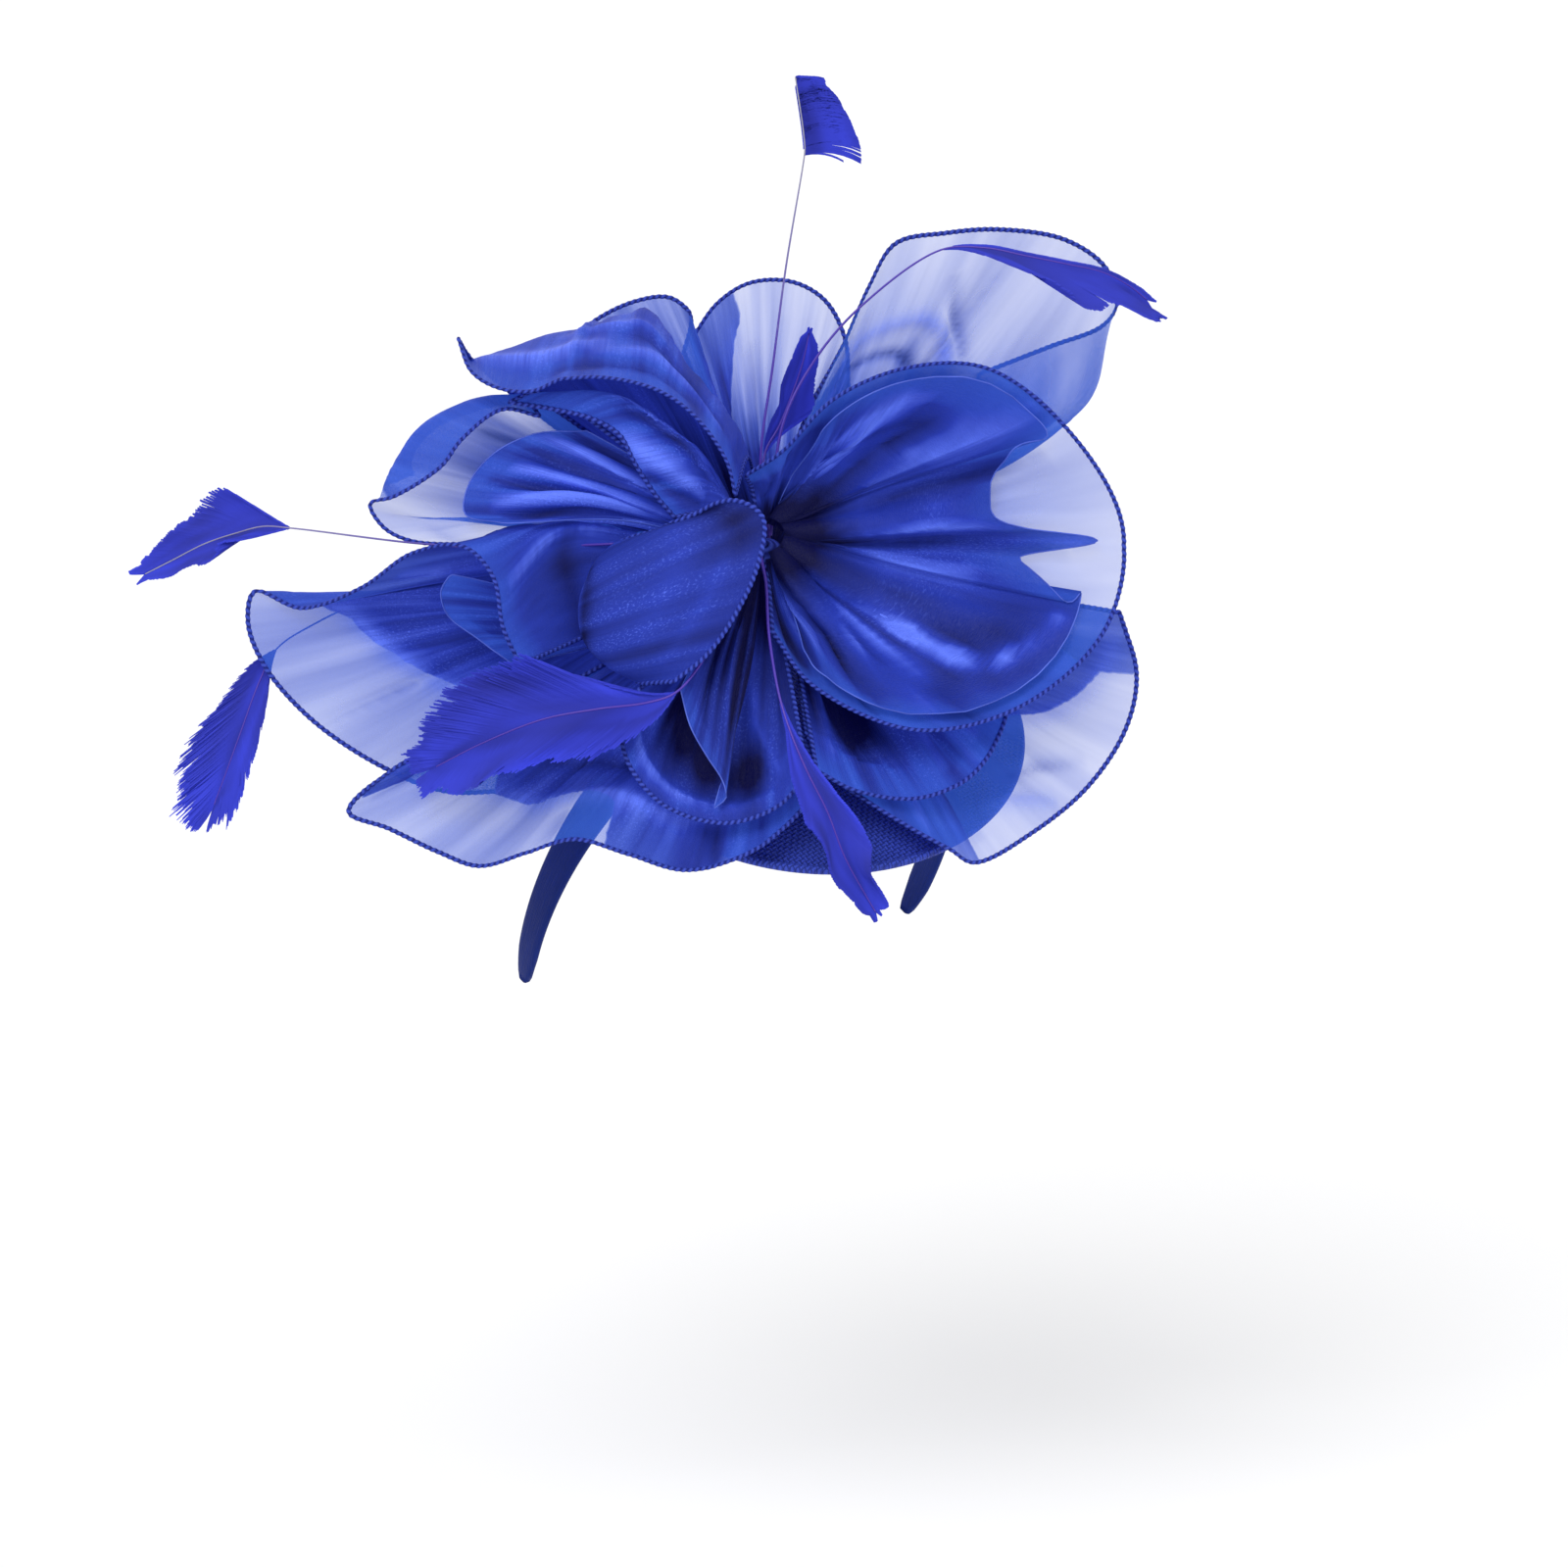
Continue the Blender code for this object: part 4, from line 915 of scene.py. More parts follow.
def lining_grid(lining, columns, rows):
    """An inner layer that follows its host sheet at a gap, on the side that faces out."""
    smooth = sheet_grid(SHEETS[lining.host], *LINING_FINE)
    host, proud = finished(lining.host, smooth)
    normal = grid_normals(smooth)
    normal *= np.sign((normal @ np.array(CORE_AXIS)).mean())
    along, reach, gap = smooth_line(np.array(lining.follows, float), columns + 1).T
    across = along[:, None] * LINING_FINE[0] * np.ones(rows + 1)
    down = reach[:, None] * LINING_FINE[1] * np.linspace(0, 1, rows + 1)
    left = np.clip(across.astype(int), 0, LINING_FINE[0] - 1)
    top = np.clip(down.astype(int), 0, LINING_FINE[1] - 1)
    share, part = (across - left)[:, :, None], (down - top)[:, :, None]
    grid, rise = 0, 0
    for i, j in ((0, 0), (1, 0), (0, 1), (1, 1)):
        weight = (share if i else 1 - share) * (part if j else 1 - part)
        grid += (host[left + i, top + j] + gap[:, None, None] * normal[left + i, top + j]) * weight
        # the lining takes its host's creases and painted shades
        rise += proud[left + i, top + j] * weight[:, :, 0]
    root = root_points(SHEETS[lining.host].roots, along, gap.mean())
    fade = (1 - np.linspace(0, 1, rows + 1)) ** LINING_FADE
    grid += (root - grid[:, 0])[:, None, :] * fade[None, :, None]
    return folded(grid, lining.folds, lining.fold_height), rise


trial_lining, _ = lining_grid(LININGS["right_inner"], 20, 10)
print("the lining's area is", round(area_of(trial_lining) / 100), "cm2")

# %% [markdown]
# ## Organza
#
# Organza is a plain weave of very fine, shiny threads with gaps between them. One layer lets about half
# of the light by, and where the cloth is gathered, lapped or creased the layers crowd together and the
# blue closes up. A glassy shader would bend the light, which a mesh of threads doesn't do. So the finish
# is a blue surface with a share that is seen through. The share falls with the number of layers at
# each point, and faster than a plain power, because lit threads also veil what lies behind them.

# %% What the finish knows at each point
PROUD = 4.0  # mm, a crease whose painted gleam or painted shade is full
LAP_SOFT = 0.8  # mm, how soft a lap's edge is
WIDE_CONTRAST = 2.6  # broad streaks are drawn out to nearly 0 and 1
WIDE_SHIFT = 0.8

Streaks = namedtuple("Streaks", "count lean breaks detail")
WIDE = Streaks(9, 0.8, 1.1, 1.0)  # how many cross a petal, how far they lean, how often they break
FINE = Streaks(48, 1.5, 2.2, 2.0)
FIBRE = Streaks(170, 2.0, 3.0, 1.0)
Cloth = namedtuple("Cloth", "along down x y wide fine ridge valley lapped")


def streaked(paint, along, down, streaks):
    """Noise drawn out from the core to the hem, 0 to 1."""
    return paint.noise(along * streaks.count + down * streaks.lean, down * streaks.breaks, streaks.detail)


def cloth_of(paint):
    """The places, streaks, folds and laps of a sheet, as wires."""
    along, down = paint.place("share")
    x, y = paint.place("cloth")
    # proud holds the creases' heights and the painted shades: ridges get painted gleams and valleys painted
    # shade
    proud, lap = paint.place("folds")
    wide = streaked(paint, along, down, WIDE) * WIDE_CONTRAST - WIDE_SHIFT
    fine = streaked(paint, along, down, FINE)
    ridge = paint.maths("MAXIMUM", proud, 0.0)
    valley = paint.maths("MAXIMUM", proud * -1.0, 0.0)
    lapped = paint.maths("ADD", lap, 0.5, clamp=True)
    return Cloth(along, down, x, y, wide, fine, ridge, valley, lapped)


print("streaks across a petal:", WIDE.count, "broad,", FINE.count, "fine and", FIBRE.count, "gleaming")

# %% How thick the cloth is
SEE_THROUGH = 0.55  # share of light that one layer lets by
CLOSING = 2.4  # how fast more layers close the gaps
ROOT_SHARE = 0.10  # the gathered edge's width over the hem's
CLOSE_LAYERS = 1.35  # layers that one crowded layer looks like, at the hem
STREAK_OPENS = 0.7  # how much of that an open streak takes away
WIDE_OPENS = 0.6  # and how much of it is up to the broad and to the fine streaks
FINE_OPENS = 0.3
LAP_ADDS = 0.72  # what laps and full creases add to the layers, in shares of them
VALLEY_ADDS = 0.55
RIDGE_ADDS = 0.4


def thickness_of(paint, cloth, layers):
    """How many layers of cloth the eye meets at each point of a sheet."""
    gather = 1 / (cloth.down * (1 - ROOT_SHARE) + ROOT_SHARE)
    opened = paint.maths("ADD", cloth.wide * WIDE_OPENS, cloth.fine * FINE_OPENS, clamp=True)
    bunched = (CLOSE_LAYERS - opened * STREAK_OPENS) * gather
    folds = cloth.lapped * LAP_ADDS + cloth.valley * VALLEY_ADDS + cloth.ridge * RIDGE_ADDS + 1.0
    return bunched * folds * layers


print("light that passes one and two layers:",
      [round(SEE_THROUGH ** (layers ** CLOSING), 2) for layers in (1, 2)])

# %% [markdown]
# ## The blues
#
# Thin cloth glows azure, because light comes through it, and thick cloth is a deep royal blue. Valleys
# drink the light, and the backs of creases gleam. Lamps alone would show this if each thread were there
# to catch them. Here the light and shade are painted instead: one number, the tone, stands for how much
# light the threads of a place catch, and it picks the colour: painted shadow when it is low, painted
# gleam when it is high. The glow of the cloth is painted as well, as emission.

# %% How light the cloth is painted
PLAIN_TONE = 0.45  # tone of cloth that nothing lifts or darkens
RIDGE_LIFT = 0.9  # painted highlight that a full ridge adds to it
VALLEY_DROP = 0.5  # painted shade that a full valley takes away
WIDE_LIFT = 0.3  # and how far broad streaks of painted sheen move it
CORE_SHADE = 0.8  # how deep the painted shade is at the core
CORE_FADE = 2.4  # and how fast that fades on the way down
FINE_ROOT = 1.6  # strength of fine streaks of painted sheen at the core
FINE_FADE = 1.2  # and how much of it is gone at the hem
FINE_LAYERS = 1.3  # fine streaks show less in cloth with more layers than this
VALLEY_CALM = 0.75  # how much of the fine streaks a valley hides


def painted_tone_of(paint, cloth, layers):
    """How much light the threads are painted with: below about 0.5 they lie in painted shadow, above it they
    get a painted gleam.
    """
    shade_near_core = paint.maths("SUBTRACT", CORE_SHADE, cloth.down * CORE_FADE, clamp=True)
    calm = 1 - paint.maths("MINIMUM", cloth.valley, 1.0) * VALLEY_CALM
    fine = (cloth.fine - 0.5) * (FINE_ROOT - cloth.down * FINE_FADE) * min(1, FINE_LAYERS / layers) ** 2
    # fine and broad streaks of painted sheen, calmer in valleys
    streaks = fine * calm + (cloth.wide - 0.5) * WIDE_LIFT
    return streaks + cloth.ridge * RIDGE_LIFT - cloth.valley * VALLEY_DROP - shade_near_core + PLAIN_TONE


print("tone of plain cloth:", PLAIN_TONE, "on a full ridge:", PLAIN_TONE + RIDGE_LIFT)

# %% Painted glints and gleams
SPARKS = 1200.0  # painted glints per metre
SPARK_START = 0.55  # a glint is where the noise of the sparks is above this
SPARK_RISE = 6.0
BRIGHT_START = 0.45  # and where the broad streaks are above this
BRIGHT_RISE = 2.2
GLEAM = (1.8, -0.9)  # a painted gleam is the tone times the first number, plus the second
SHADOW = (-1.7, 0.9)  # and so is a painted shadow
FIBRE_GLEAM = 1.6  # how much of a gleam goes with the fibres
EVEN_GLEAM = 0.2  # and how much is even
THIN_DULLS = 0.85  # how much of a gleam thin cloth loses
GLINT = 0.65  # a glint's share in the gleam


def above(paint, wire, start, rise):
    """0 where a wire is below a start, then rising to 1."""
    return paint.maths("MULTIPLY", wire - start, rise, clamp=True)


def gleam_of(paint, cloth, tone, thin, shadow):
    """Painted highlights where the threads shine: fine fibres on high creases, and glints on thick cloth in
    the painted light.
    """
    spark = paint.noise(cloth.x * SPARKS, cloth.y * SPARKS, 1.0)
    glint = above(paint, spark, SPARK_START, SPARK_RISE) * above(paint, cloth.wide, BRIGHT_START, BRIGHT_RISE)
    glint = glint * (1 - thin) * (1 - shadow)
    fibre = streaked(paint, cloth.along, cloth.down, FIBRE)
    gleam = paint.maths("MULTIPLY_ADD", tone, *GLEAM, clamp=True) * (fibre * FIBRE_GLEAM + EVEN_GLEAM)
    return paint.maths("ADD", gleam * (1 - thin * THIN_DULLS), glint * GLINT, clamp=True)


print("shadows end at a tone of", round(-SHADOW[1] / SHADOW[0], 2),
      "and gleams start at", -GLEAM[1] / GLEAM[0])

# %% The organza finishes
THREADS = 3200.0  # weave, in cells per metre
THICK = 2.6  # layers that look solid
THIN = 1.1  # layers below which cloth looks no thinner
GLOW = 0.45  # painted glow: emission that stands in for the light the threads scatter from behind
ORGANZA_SHINE = {"Sheen Weight": 0.02, "Sheen Roughness": 0.4, "Specular IOR Level": 0.14,
                 "Sheen Tint": (0.35, 0.45, 1.0, 1), "Emission Strength": GLOW}
ORGANZA_ROUGHNESS = 0.36
ORGANZA_RELIEF = 0.0008  # metres
# painted shade of thick and of thin cloth, the cloth's own blues when thick and thin, and a painted gleam
THICK_SHADE_BLUE = (0.0015, 0.002, 0.04, 1)
SHADE_BLUE = (0.012, 0.03, 0.26, 1)
FULL_BLUE = (0.016, 0.036, 0.33, 1)
THIN_BLUE = (0.026, 0.078, 0.40, 1)
GLEAM_BLUE = (0.12, 0.20, 0.86, 1)
# painted glow, emitted: in painted shade, on thick cloth and on thin cloth
SHADE_GLOW = (0.0005, 0.0005, 0.025, 1)
FULL_GLOW = (0.020, 0.038, 0.36, 1)
THIN_GLOW = (0.045, 0.16, 0.80, 1)


def organza(name, layers):
    """Sheer cloth of a number of layers, denser towards the gathers and painted darker there, with painted
    gleams on its creases and a painted glow.
    """
    paint = Paint(name, ORGANZA_SHINE)
    cloth = cloth_of(paint)
    thickness = thickness_of(paint, cloth, layers)
    paint.feed("Alpha", 1 - SEE_THROUGH ** (thickness ** CLOSING))
    tone = painted_tone_of(paint, cloth, layers)
    thin = paint.maths("MULTIPLY", THICK - thickness, 1 / (THICK - THIN), clamp=True)
    shadow = paint.maths("MULTIPLY_ADD", tone, *SHADOW, clamp=True)
    gleam = gleam_of(paint, cloth, tone, thin, shadow)
    colour = paint.blend(thin, FULL_BLUE, THIN_BLUE)
    colour = paint.blend(shadow, colour, paint.blend(thin, THICK_SHADE_BLUE, SHADE_BLUE))
    paint.feed("Base Color", paint.blend(gleam, colour, GLEAM_BLUE))
    # painted glow: thin cloth glows everywhere, and thick cloth less where it lies in painted shadow
    glow = paint.blend(shadow * (1 - thin), FULL_GLOW, SHADE_GLOW)
    paint.feed("Emission Color", paint.blend(thin, glow, THIN_GLOW))
    # gleaming threads are smoother, and the weave and its streaks stand in slight relief
    grain = paint.noise(cloth.x * THREADS, cloth.y * THREADS, 0.0)
    paint.feed("Roughness", grain * 0.2 - gleam * 0.15 + ORGANZA_ROUGHNESS)
    paint.bump(grain * 0.3 + cloth.wide * 0.5 + cloth.fine * 0.7, ORGANZA_RELIEF)
    return paint.material


LAYERS = sorted({row.layers for table in (SHEETS, RUFFLES, LININGS) for row in table.values()})
ORGANZAS = {layers: organza(f"organza_{index}", layers) for index, layers in enumerate(LAYERS)}
print("organza finishes for layers:", LAYERS)

# %% [markdown]
# ## Sheets as meshes
#
# A sheet could be given a wall, but organza is a tenth of a millimetre thick, so its middle surface is
# enough. Three UV layers go with it: the cloth's own metres, for the weave; the share along the hem and
# down the ribs, for the gathers and the painted shade at the core; and how proud each point stands,
# with the painted shades added, and how far it lies inside a lap, for the folds and their painted gleam
# and shade.

# %% Adding a piece
def add_mesh(name, points, faces, material, matrix, smooth=True):
    """A finished piece of the hat, from points in millimetres in a frame."""
    mesh = bpy.data.meshes.new(name)
    turn, shift = np.array(matrix.to_3x3()), np.array(matrix.translation)
    mesh.from_pydata((np.asarray(points) * MM @ turn.T + shift).tolist(), [], faces)
    mesh.materials.append(material)
    if smooth:
        mesh.shade_smooth()
    piece = bpy.data.objects.new(name, mesh)
    scene.collection.objects.link(piece)
    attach(piece, "root")
    return piece


def add_places(piece, layer, places):
    """A UV layer from two numbers for each point."""
    mesh = piece.data
    corner = np.zeros(len(mesh.loops), int)
    mesh.loops.foreach_get("vertex_index", corner)
    mesh.uv_layers.new(name=layer).uv.foreach_set("vector", np.asarray(places)[corner].ravel())


def grid_faces(columns, rows, closed=False):
    """Quads of a grid of points, joined round from the last column to the first if it is closed."""
    faces = []
    for column in range(columns if closed else columns - 1):
        after = (column + 1) % columns
        for row in range(rows - 1):
            faces.append((column * rows + row, after * rows + row,
                          after * rows + row + 1, column * rows + row + 1))
    return faces


def tube_faces(sides, count):
    """Faces of a tube whose sides are rows of points, with a cap at each end."""
    faces = grid_faces(sides, count, closed=True)
    faces.append(tuple(side * count for side in range(sides)))
    faces.append(tuple(side * count + count - 1 for side in reversed(range(sides))))
    return faces


print("a closed box has", len(tube_faces(4, 2)), "faces")

# %% Making a sheet
CLOTH_STEP = 1.6  # mesh spacing, mm


def make_cloth(name, grid, layers, proud, lap):
    """One sheet of organza, with its three UV layers."""
    columns, rows = grid.shape[:2]
    piece = add_mesh(name, grid.reshape(-1, 3), grid_faces(columns, rows), ORGANZAS[layers], FLOWER)
    along, down = np.meshgrid(np.linspace(0, 1, columns), np.linspace(0, 1, rows), indexing="ij")
    hem, rib = length_of(grid[:, -1]) * MM, length_of(grid[columns // 2]) * MM
    add_places(piece, "cloth", np.stack([along * hem, down * rib], axis=2).reshape(-1, 2))
    add_places(piece, "share", np.stack([along, down], axis=2).reshape(-1, 2))
    # how proud each point stands, painted shades included, for the painted gleam and shade
    add_places(piece, "folds", np.stack([proud / PROUD, lap / LAP_SOFT], axis=2).reshape(-1, 2))
    return piece


print("cloth points are", CLOTH_STEP, "mm apart")

# %% [markdown]
# ## The serged hem
#
# The edge is overlocked with dark thread over a fine cord, which makes a firm line of small beads. A
# curve with a round bevel would make a plain wire. Here a tube follows the outline of the sheet, flat
# against the cloth, and its radius swells and shrinks along a screw line, so that it reads as thread
# wound round and round. The edges of inner layers are folded under, and there the tube is plain and thin.

# %% Thread and folded edge
STITCH = 1.9  # one stitch along the hem, mm
THREAD_DARK = (0.010, 0.016, 0.17, 1)
THREAD_HIGHLIGHT = (0.050, 0.085, 0.52, 1)
THREAD_RELIEF = 0.0002  # metres

thread_paint = Paint("hem_thread", {"Roughness": 0.5, "Specular IOR Level": 0.08})
stitch_x, stitch_y = thread_paint.place("cloth")
# painted shade between two turns of the thread and a painted highlight on each, with fibres that run along it
wound = thread_paint.maths("SINE", (stitch_x * (1 / (STITCH * MM)) - stitch_y) * (2 * pi)) * 0.5 + 0.5
thread_paint.feed("Base Color", thread_paint.blend(wound, THREAD_DARK, THREAD_HIGHLIGHT))
thread_paint.bump(thread_paint.noise(stitch_x * 2500, stitch_y * 9), THREAD_RELIEF)

fold_paint = Paint("folded_edge", {"Roughness": 0.35, "Specular IOR Level": 0.3})
fold_x, fold_y = fold_paint.place("cloth")
# painted sheen: the light breaks on a folded edge every centimetre or two
fold_sheen = fold_paint.noise(fold_x * 70, fold_y, 1.0) * 1.2 - 0.1
fold_paint.feed("Base Color", fold_paint.blend(fold_sheen, FULL_BLUE, GLEAM_BLUE))
print("thread and folded edge painted,", round(1 / (STITCH * MM)), "stitches to the metre")

# %% A tube of wound thread
END_SHARE = 0.25  # a tube's radius at its ends, over its full radius
END_LENGTH = 6.0  # mm in which the radius would grow from nothing to full
FEWEST_RINGS = 8
TUBE_SIDES = 6

Winding = namedtuple("Winding", "wide thick pitch relief step sides")
HEM = Winding(0.70, 0.52, STITCH, 0.16, 0.42, TUBE_SIDES)  # mm: half its width, half its thickness
FOLD = Winding(0.22, 0.22, STITCH, 0, CLOTH_STEP, TUBE_SIDES)


def wound_tube(name, line, normal, winding, material):
    """A tube of wound thread along a line, flat against a surface with these normals."""
    count = max(FEWEST_RINGS, round(length_of(line) / winding.step))
    before, share = stations_along(line, count)
    path, flat = read_at(line, before, share), read_at(normal, before, share)
    tangent = unit(np.gradient(path, axis=0))
    side = unit(np.cross(tangent, flat))
    flat = np.cross(side, tangent)
    walk = np.linspace(0, length_of(line), count)
    taper = np.minimum(1, END_SHARE + np.minimum(walk, walk[-1] - walk) / END_LENGTH)
    points, places = [], []
    for turn in np.arange(winding.sides) / winding.sides:
        swell = taper * (1 + winding.relief * np.sin(2 * pi * (walk / winding.pitch - turn)))
        points.append(path + side * (winding.wide * swell * cos(2 * pi * turn))[:, None]
                      + flat * (winding.thick * swell * sin(2 * pi * turn))[:, None])
        places.append(np.stack([walk * MM, np.full(count, turn)], axis=1))
    piece = add_mesh(name, np.concatenate(points), tube_faces(winding.sides, count), material, FLOWER)
    add_places(piece, "cloth", np.concatenate(places))
    return piece


print("a hem is", 2 * HEM.wide, "mm wide and", 2 * HEM.thick, "mm thick")

# %% The edge of a sheet
HEM_START = 0.16  # share of the end ribs near the core that has no hem
LATE_HEMS = {"front_petal": 0.8, "swirl_curl": 0.9}
FOLDED = ("right_inner", "left_inner", "low_left_inner", "swirl_curl")  # folded under, not serged


def outline_of(name, grid):
    """The hem's line, from one end rib round the edge to the other, with the cloth's normals."""
    start = int(LATE_HEMS.get(name, HEM_START) * (grid.shape[1] - 1))
    return [np.vstack([values[0, start:-1], values[:, -1], values[-1, start:-1][::-1]])
            for values in (grid, grid_normals(grid))]


def make_hem(name, grid):
    """The edge of one sheet: serged, or folded under where the cloth is a lining."""
    if name in FOLDED:
        return wound_tube(f"{name}_fold", *outline_of(name, grid), FOLD, fold_paint.material)
    return wound_tube(f"{name}_hem", *outline_of(name, grid), HEM, thread_paint.material)


print(len(FOLDED), "edges are folded, the others are serged")

# %% [markdown]
# ## All the petals
#
# Every sheet is made the same way: a coarse grid tells how long its hem and ribs are, a fine one is
# pleated and turned into cloth, and its hem follows. One fixed number of columns would be simpler, but
# it would make small petals finer than large ones.

# %% Sewing the flower
MEASURING_GRID = (24, 12)


def petal_surface(name, row, columns, rows):
    """A sheet before and after it is creased and pleated, and how proud each of its points stands, with the
    painted shades added.
    """
    if name in LININGS:
        grid, proud = lining_grid(row, columns, rows)
        return grid, grid, proud
    grid = sheet_grid(row, columns, rows) if name in SHEETS else ruffle_grid(row, columns, rows)
    return grid, *finished(name, grid)


def make_petal(name, row):
    """One sheet of the flower with its hem."""
    coarse, _, _ = petal_surface(name, row, *MEASURING_GRID)
    hem, rib = length_of(coarse[:, -1]), np.mean([length_of(rib) for rib in coarse])
    smooth, grid, proud = petal_surface(name, row, round(hem / CLOTH_STEP), round(rib / CLOTH_STEP))
    lap = lap_depth(smooth, LAPS.get(name, []))
    cloth = make_cloth(f"{name}_cloth", grid, row.layers, proud, lap)
    edge = make_hem(name, grid)
    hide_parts(name)


for table in (SHEETS, RUFFLES, LININGS):
    for name, row in table.items():
        make_petal(name, row)

# %% [markdown]
# ## Feathers
#
# Each feather is a dyed plume, stripped to a bare quill for most of its length and trimmed. A picture
# of barbs on a card would look flat from the side, and hair strands aren't solid shapes. So the quill is
# a thin tapering tube, and the vane is made of its real parts, the barbs: narrow ribbons that leave the
# quill at a slant and lie side by side.
#
# A feather is given by stations on its quill, each with the vane's width to its left and right. Slant
# is the angle of its barbs, and bend the share of it that they lose. Fray makes its tufts uneven, and
# fuzz its single barbs. Curl lifts their ends, and pale says how undyed the quill's end is.

# %% Feather tables
Station = namedtuple("Station", "across up out left right")
Feather = namedtuple("Feather", "degrees depth face slant bend fray fuzz curl pale stations")

FEATHERS = {
    "upright_feather": Feather(95, 9, (0.25, 0, 1), 1.25, -0.3, 0.01, 0.01, 0, 1.0, rows_of(
        Station,
        (-0.5, 24, -11, 0, 0), (3, 50, -12, 0, 0), (7, 80, -11, 0, 0), (12.5, 113, -8, 0, 0),
        (12.6, 115, -8, 0.5, 18.5), (12, 121, -8, 0.5, 17.5), (11, 128, -8, 0.5, 15),
        (10.2, 133, -8, 0.5, 12), (9.8, 136, -8, 0.4, 9))),
    "right_feather": Feather(78, 10, (0.1, 0.3, 1), 0.45, 0.3, 0.035, 0.055, 0.1, 0.3, rows_of(
        Station,
        (6, 33, -12, 0, 0), (16, 53, -14, 0, 0), (30, 69, -14, 0, 0), (53, 85, -12, 0, 0),
        (66, 85.5, -10, 0.8, 3), (78, 83, -8, 1.0, 8), (90, 80.5, -7, 1.0, 13),
        (101, 78, -7, 1.0, 14), (109, 74, -8, 1.2, 11), (114, 70, -8, 1.5, 5))),
    "short_feather": Feather(84, 13, (0.3, 0, 1), 0.45, 0.4, 0.03, 0.03, 0.1, 0.1, rows_of(
        Station,
        (0.5, 24, -17, 0, 0), (5, 33, -18, 3, 4), (9, 43, -18, 5, 6), (12, 52, -17, 4, 4),
        (14, 61, -16, 0.6, 0.6))),
    "left_feather": Feather(187, 9, (0, 0.3, 1), 0.5, 0.4, 0.03, 0.05, 0.1, 0.9, rows_of(
        Station,
        (-20, -2, -5, 0, 0), (-50, -3, -4, 0, 0), (-80, -4, 5, 0, 0), (-101, -3, 6, 0, 0),
        (-139, 1.5, 8, 0, 0), (-147, 2, 8, 5, 6), (-155, 0, 8, 7, 9), (-164, -3, 8, 7, 9),
        (-174, -8, 7, 5, 6), (-182, -12, 6, 2, 3))),
    "drooping_feather": Feather(204, 23, (-0.5, 0, 1), 0.6, 0.5, 0.07, 0.12, 0.15, 0.2, rows_of(
        Station,
        (-40, -14, -22, 0, 0), (-80, -18, -22, 0, 0), (-118, -20, -12, 0, 0), (-134, -27, -6, 0, 0),
        (-144, -34, -3, 0, 0), (-149, -44, -1, 6, 6), (-154, -58, 1, 9, 12), (-159, -72, 2, 9, 14),
        (-162, -80, 2, 8, 12))),
    "broad_feather": Feather(258, 5, (0, 0.15, 1), 0.6, 0.4, 0.02, 0.10, 0.12, 0.2, rows_of(
        Station,
        (-5, -16, 6, 0, 0), (-15, -34, 17, 0, 0), (-25, -47, 23, 0, 0), (-33, -50, 24, 5, 5),
        (-48, -52, 26, 13, 13), (-64, -55, 25, 16, 18), (-82, -62, 21, 15, 16),
        (-96, -69, 16, 7, 8))),
    "lower_feather": Feather(264, 2, (0.2, 0, 1), 0.45, 0.4, 0.02, 0.02, 0.15, 0.1, rows_of(
        Station,
        (1, -14, 7, 0, 0), (2, -30, 16, 0, 0), (5, -48, 26, 0, 0), (8, -58, 30, 1, 1),
        (13, -70, 33, 3, 5), (19, -82, 35, 6, 7), (24, -95, 36, 7, 6), (30, -106, 34, 4, 4),
        (33, -111, 33, 1, 2))),
}
print(len(FEATHERS), "feathers,", sum(len(feather.stations) for feather in FEATHERS.values()), "stations")

# %% The feather's finishes
FEATHER_DARK = (0.013, 0.019, 0.30, 1)
FEATHER_LIGHT = (0.036, 0.054, 0.70, 1)
QUILL_DYED = (0.07, 0.03, 0.40, 1)
QUILL_PALE = (0.34, 0.34, 0.40, 1)

feather_paint = Paint("feather_barbs", {"Sheen Weight": 0.06, "Specular IOR Level": 0.2})
barb_x, barb_y = feather_paint.place("cloth")
# each tuft has its own tone, and barbs are lighter towards their ends
tuft_tone = feather_paint.noise(barb_x * 30, barb_y * 1.5, 1.0)
feather_tone = feather_paint.maths("ADD", tuft_tone * 1.9 - 0.75, barb_y * 0.4, clamp=True)
feather_paint.feed("Base Color", feather_paint.blend(feather_tone, FEATHER_DARK, FEATHER_LIGHT))
feather_paint.feed("Roughness", tuft_tone * 0.3 + 0.45)

quill_paint = Paint("quill", {"Roughness": 0.4})
quill_share, quill_turn = quill_paint.place("cloth")
# the dye fades towards the end of a pale quill, and unevenly
undyed = quill_paint.noise(quill_share * 60, quill_turn * 2) * 0.5 + quill_share * 1.8 - 0.95
undyed = quill_paint.maths("ADD", undyed, 0, clamp=True)
quill_paint.feed("Base Color", quill_paint.blend(undyed, QUILL_DYED, QUILL_PALE))
print("feathers painted from", FEATHER_DARK[:3], "to", FEATHER_LIGHT[:3])

# %% The quill's line
GAP = 0.3  # mm between a quill's end and the core
QUILL = 0.5  # mm, a quill's radius at the core
PATH_STEP = 0.5  # mm
STATION_STEPS = 24  # points between two stations

Quill = namedtuple("Quill", "path width walk along across rise")


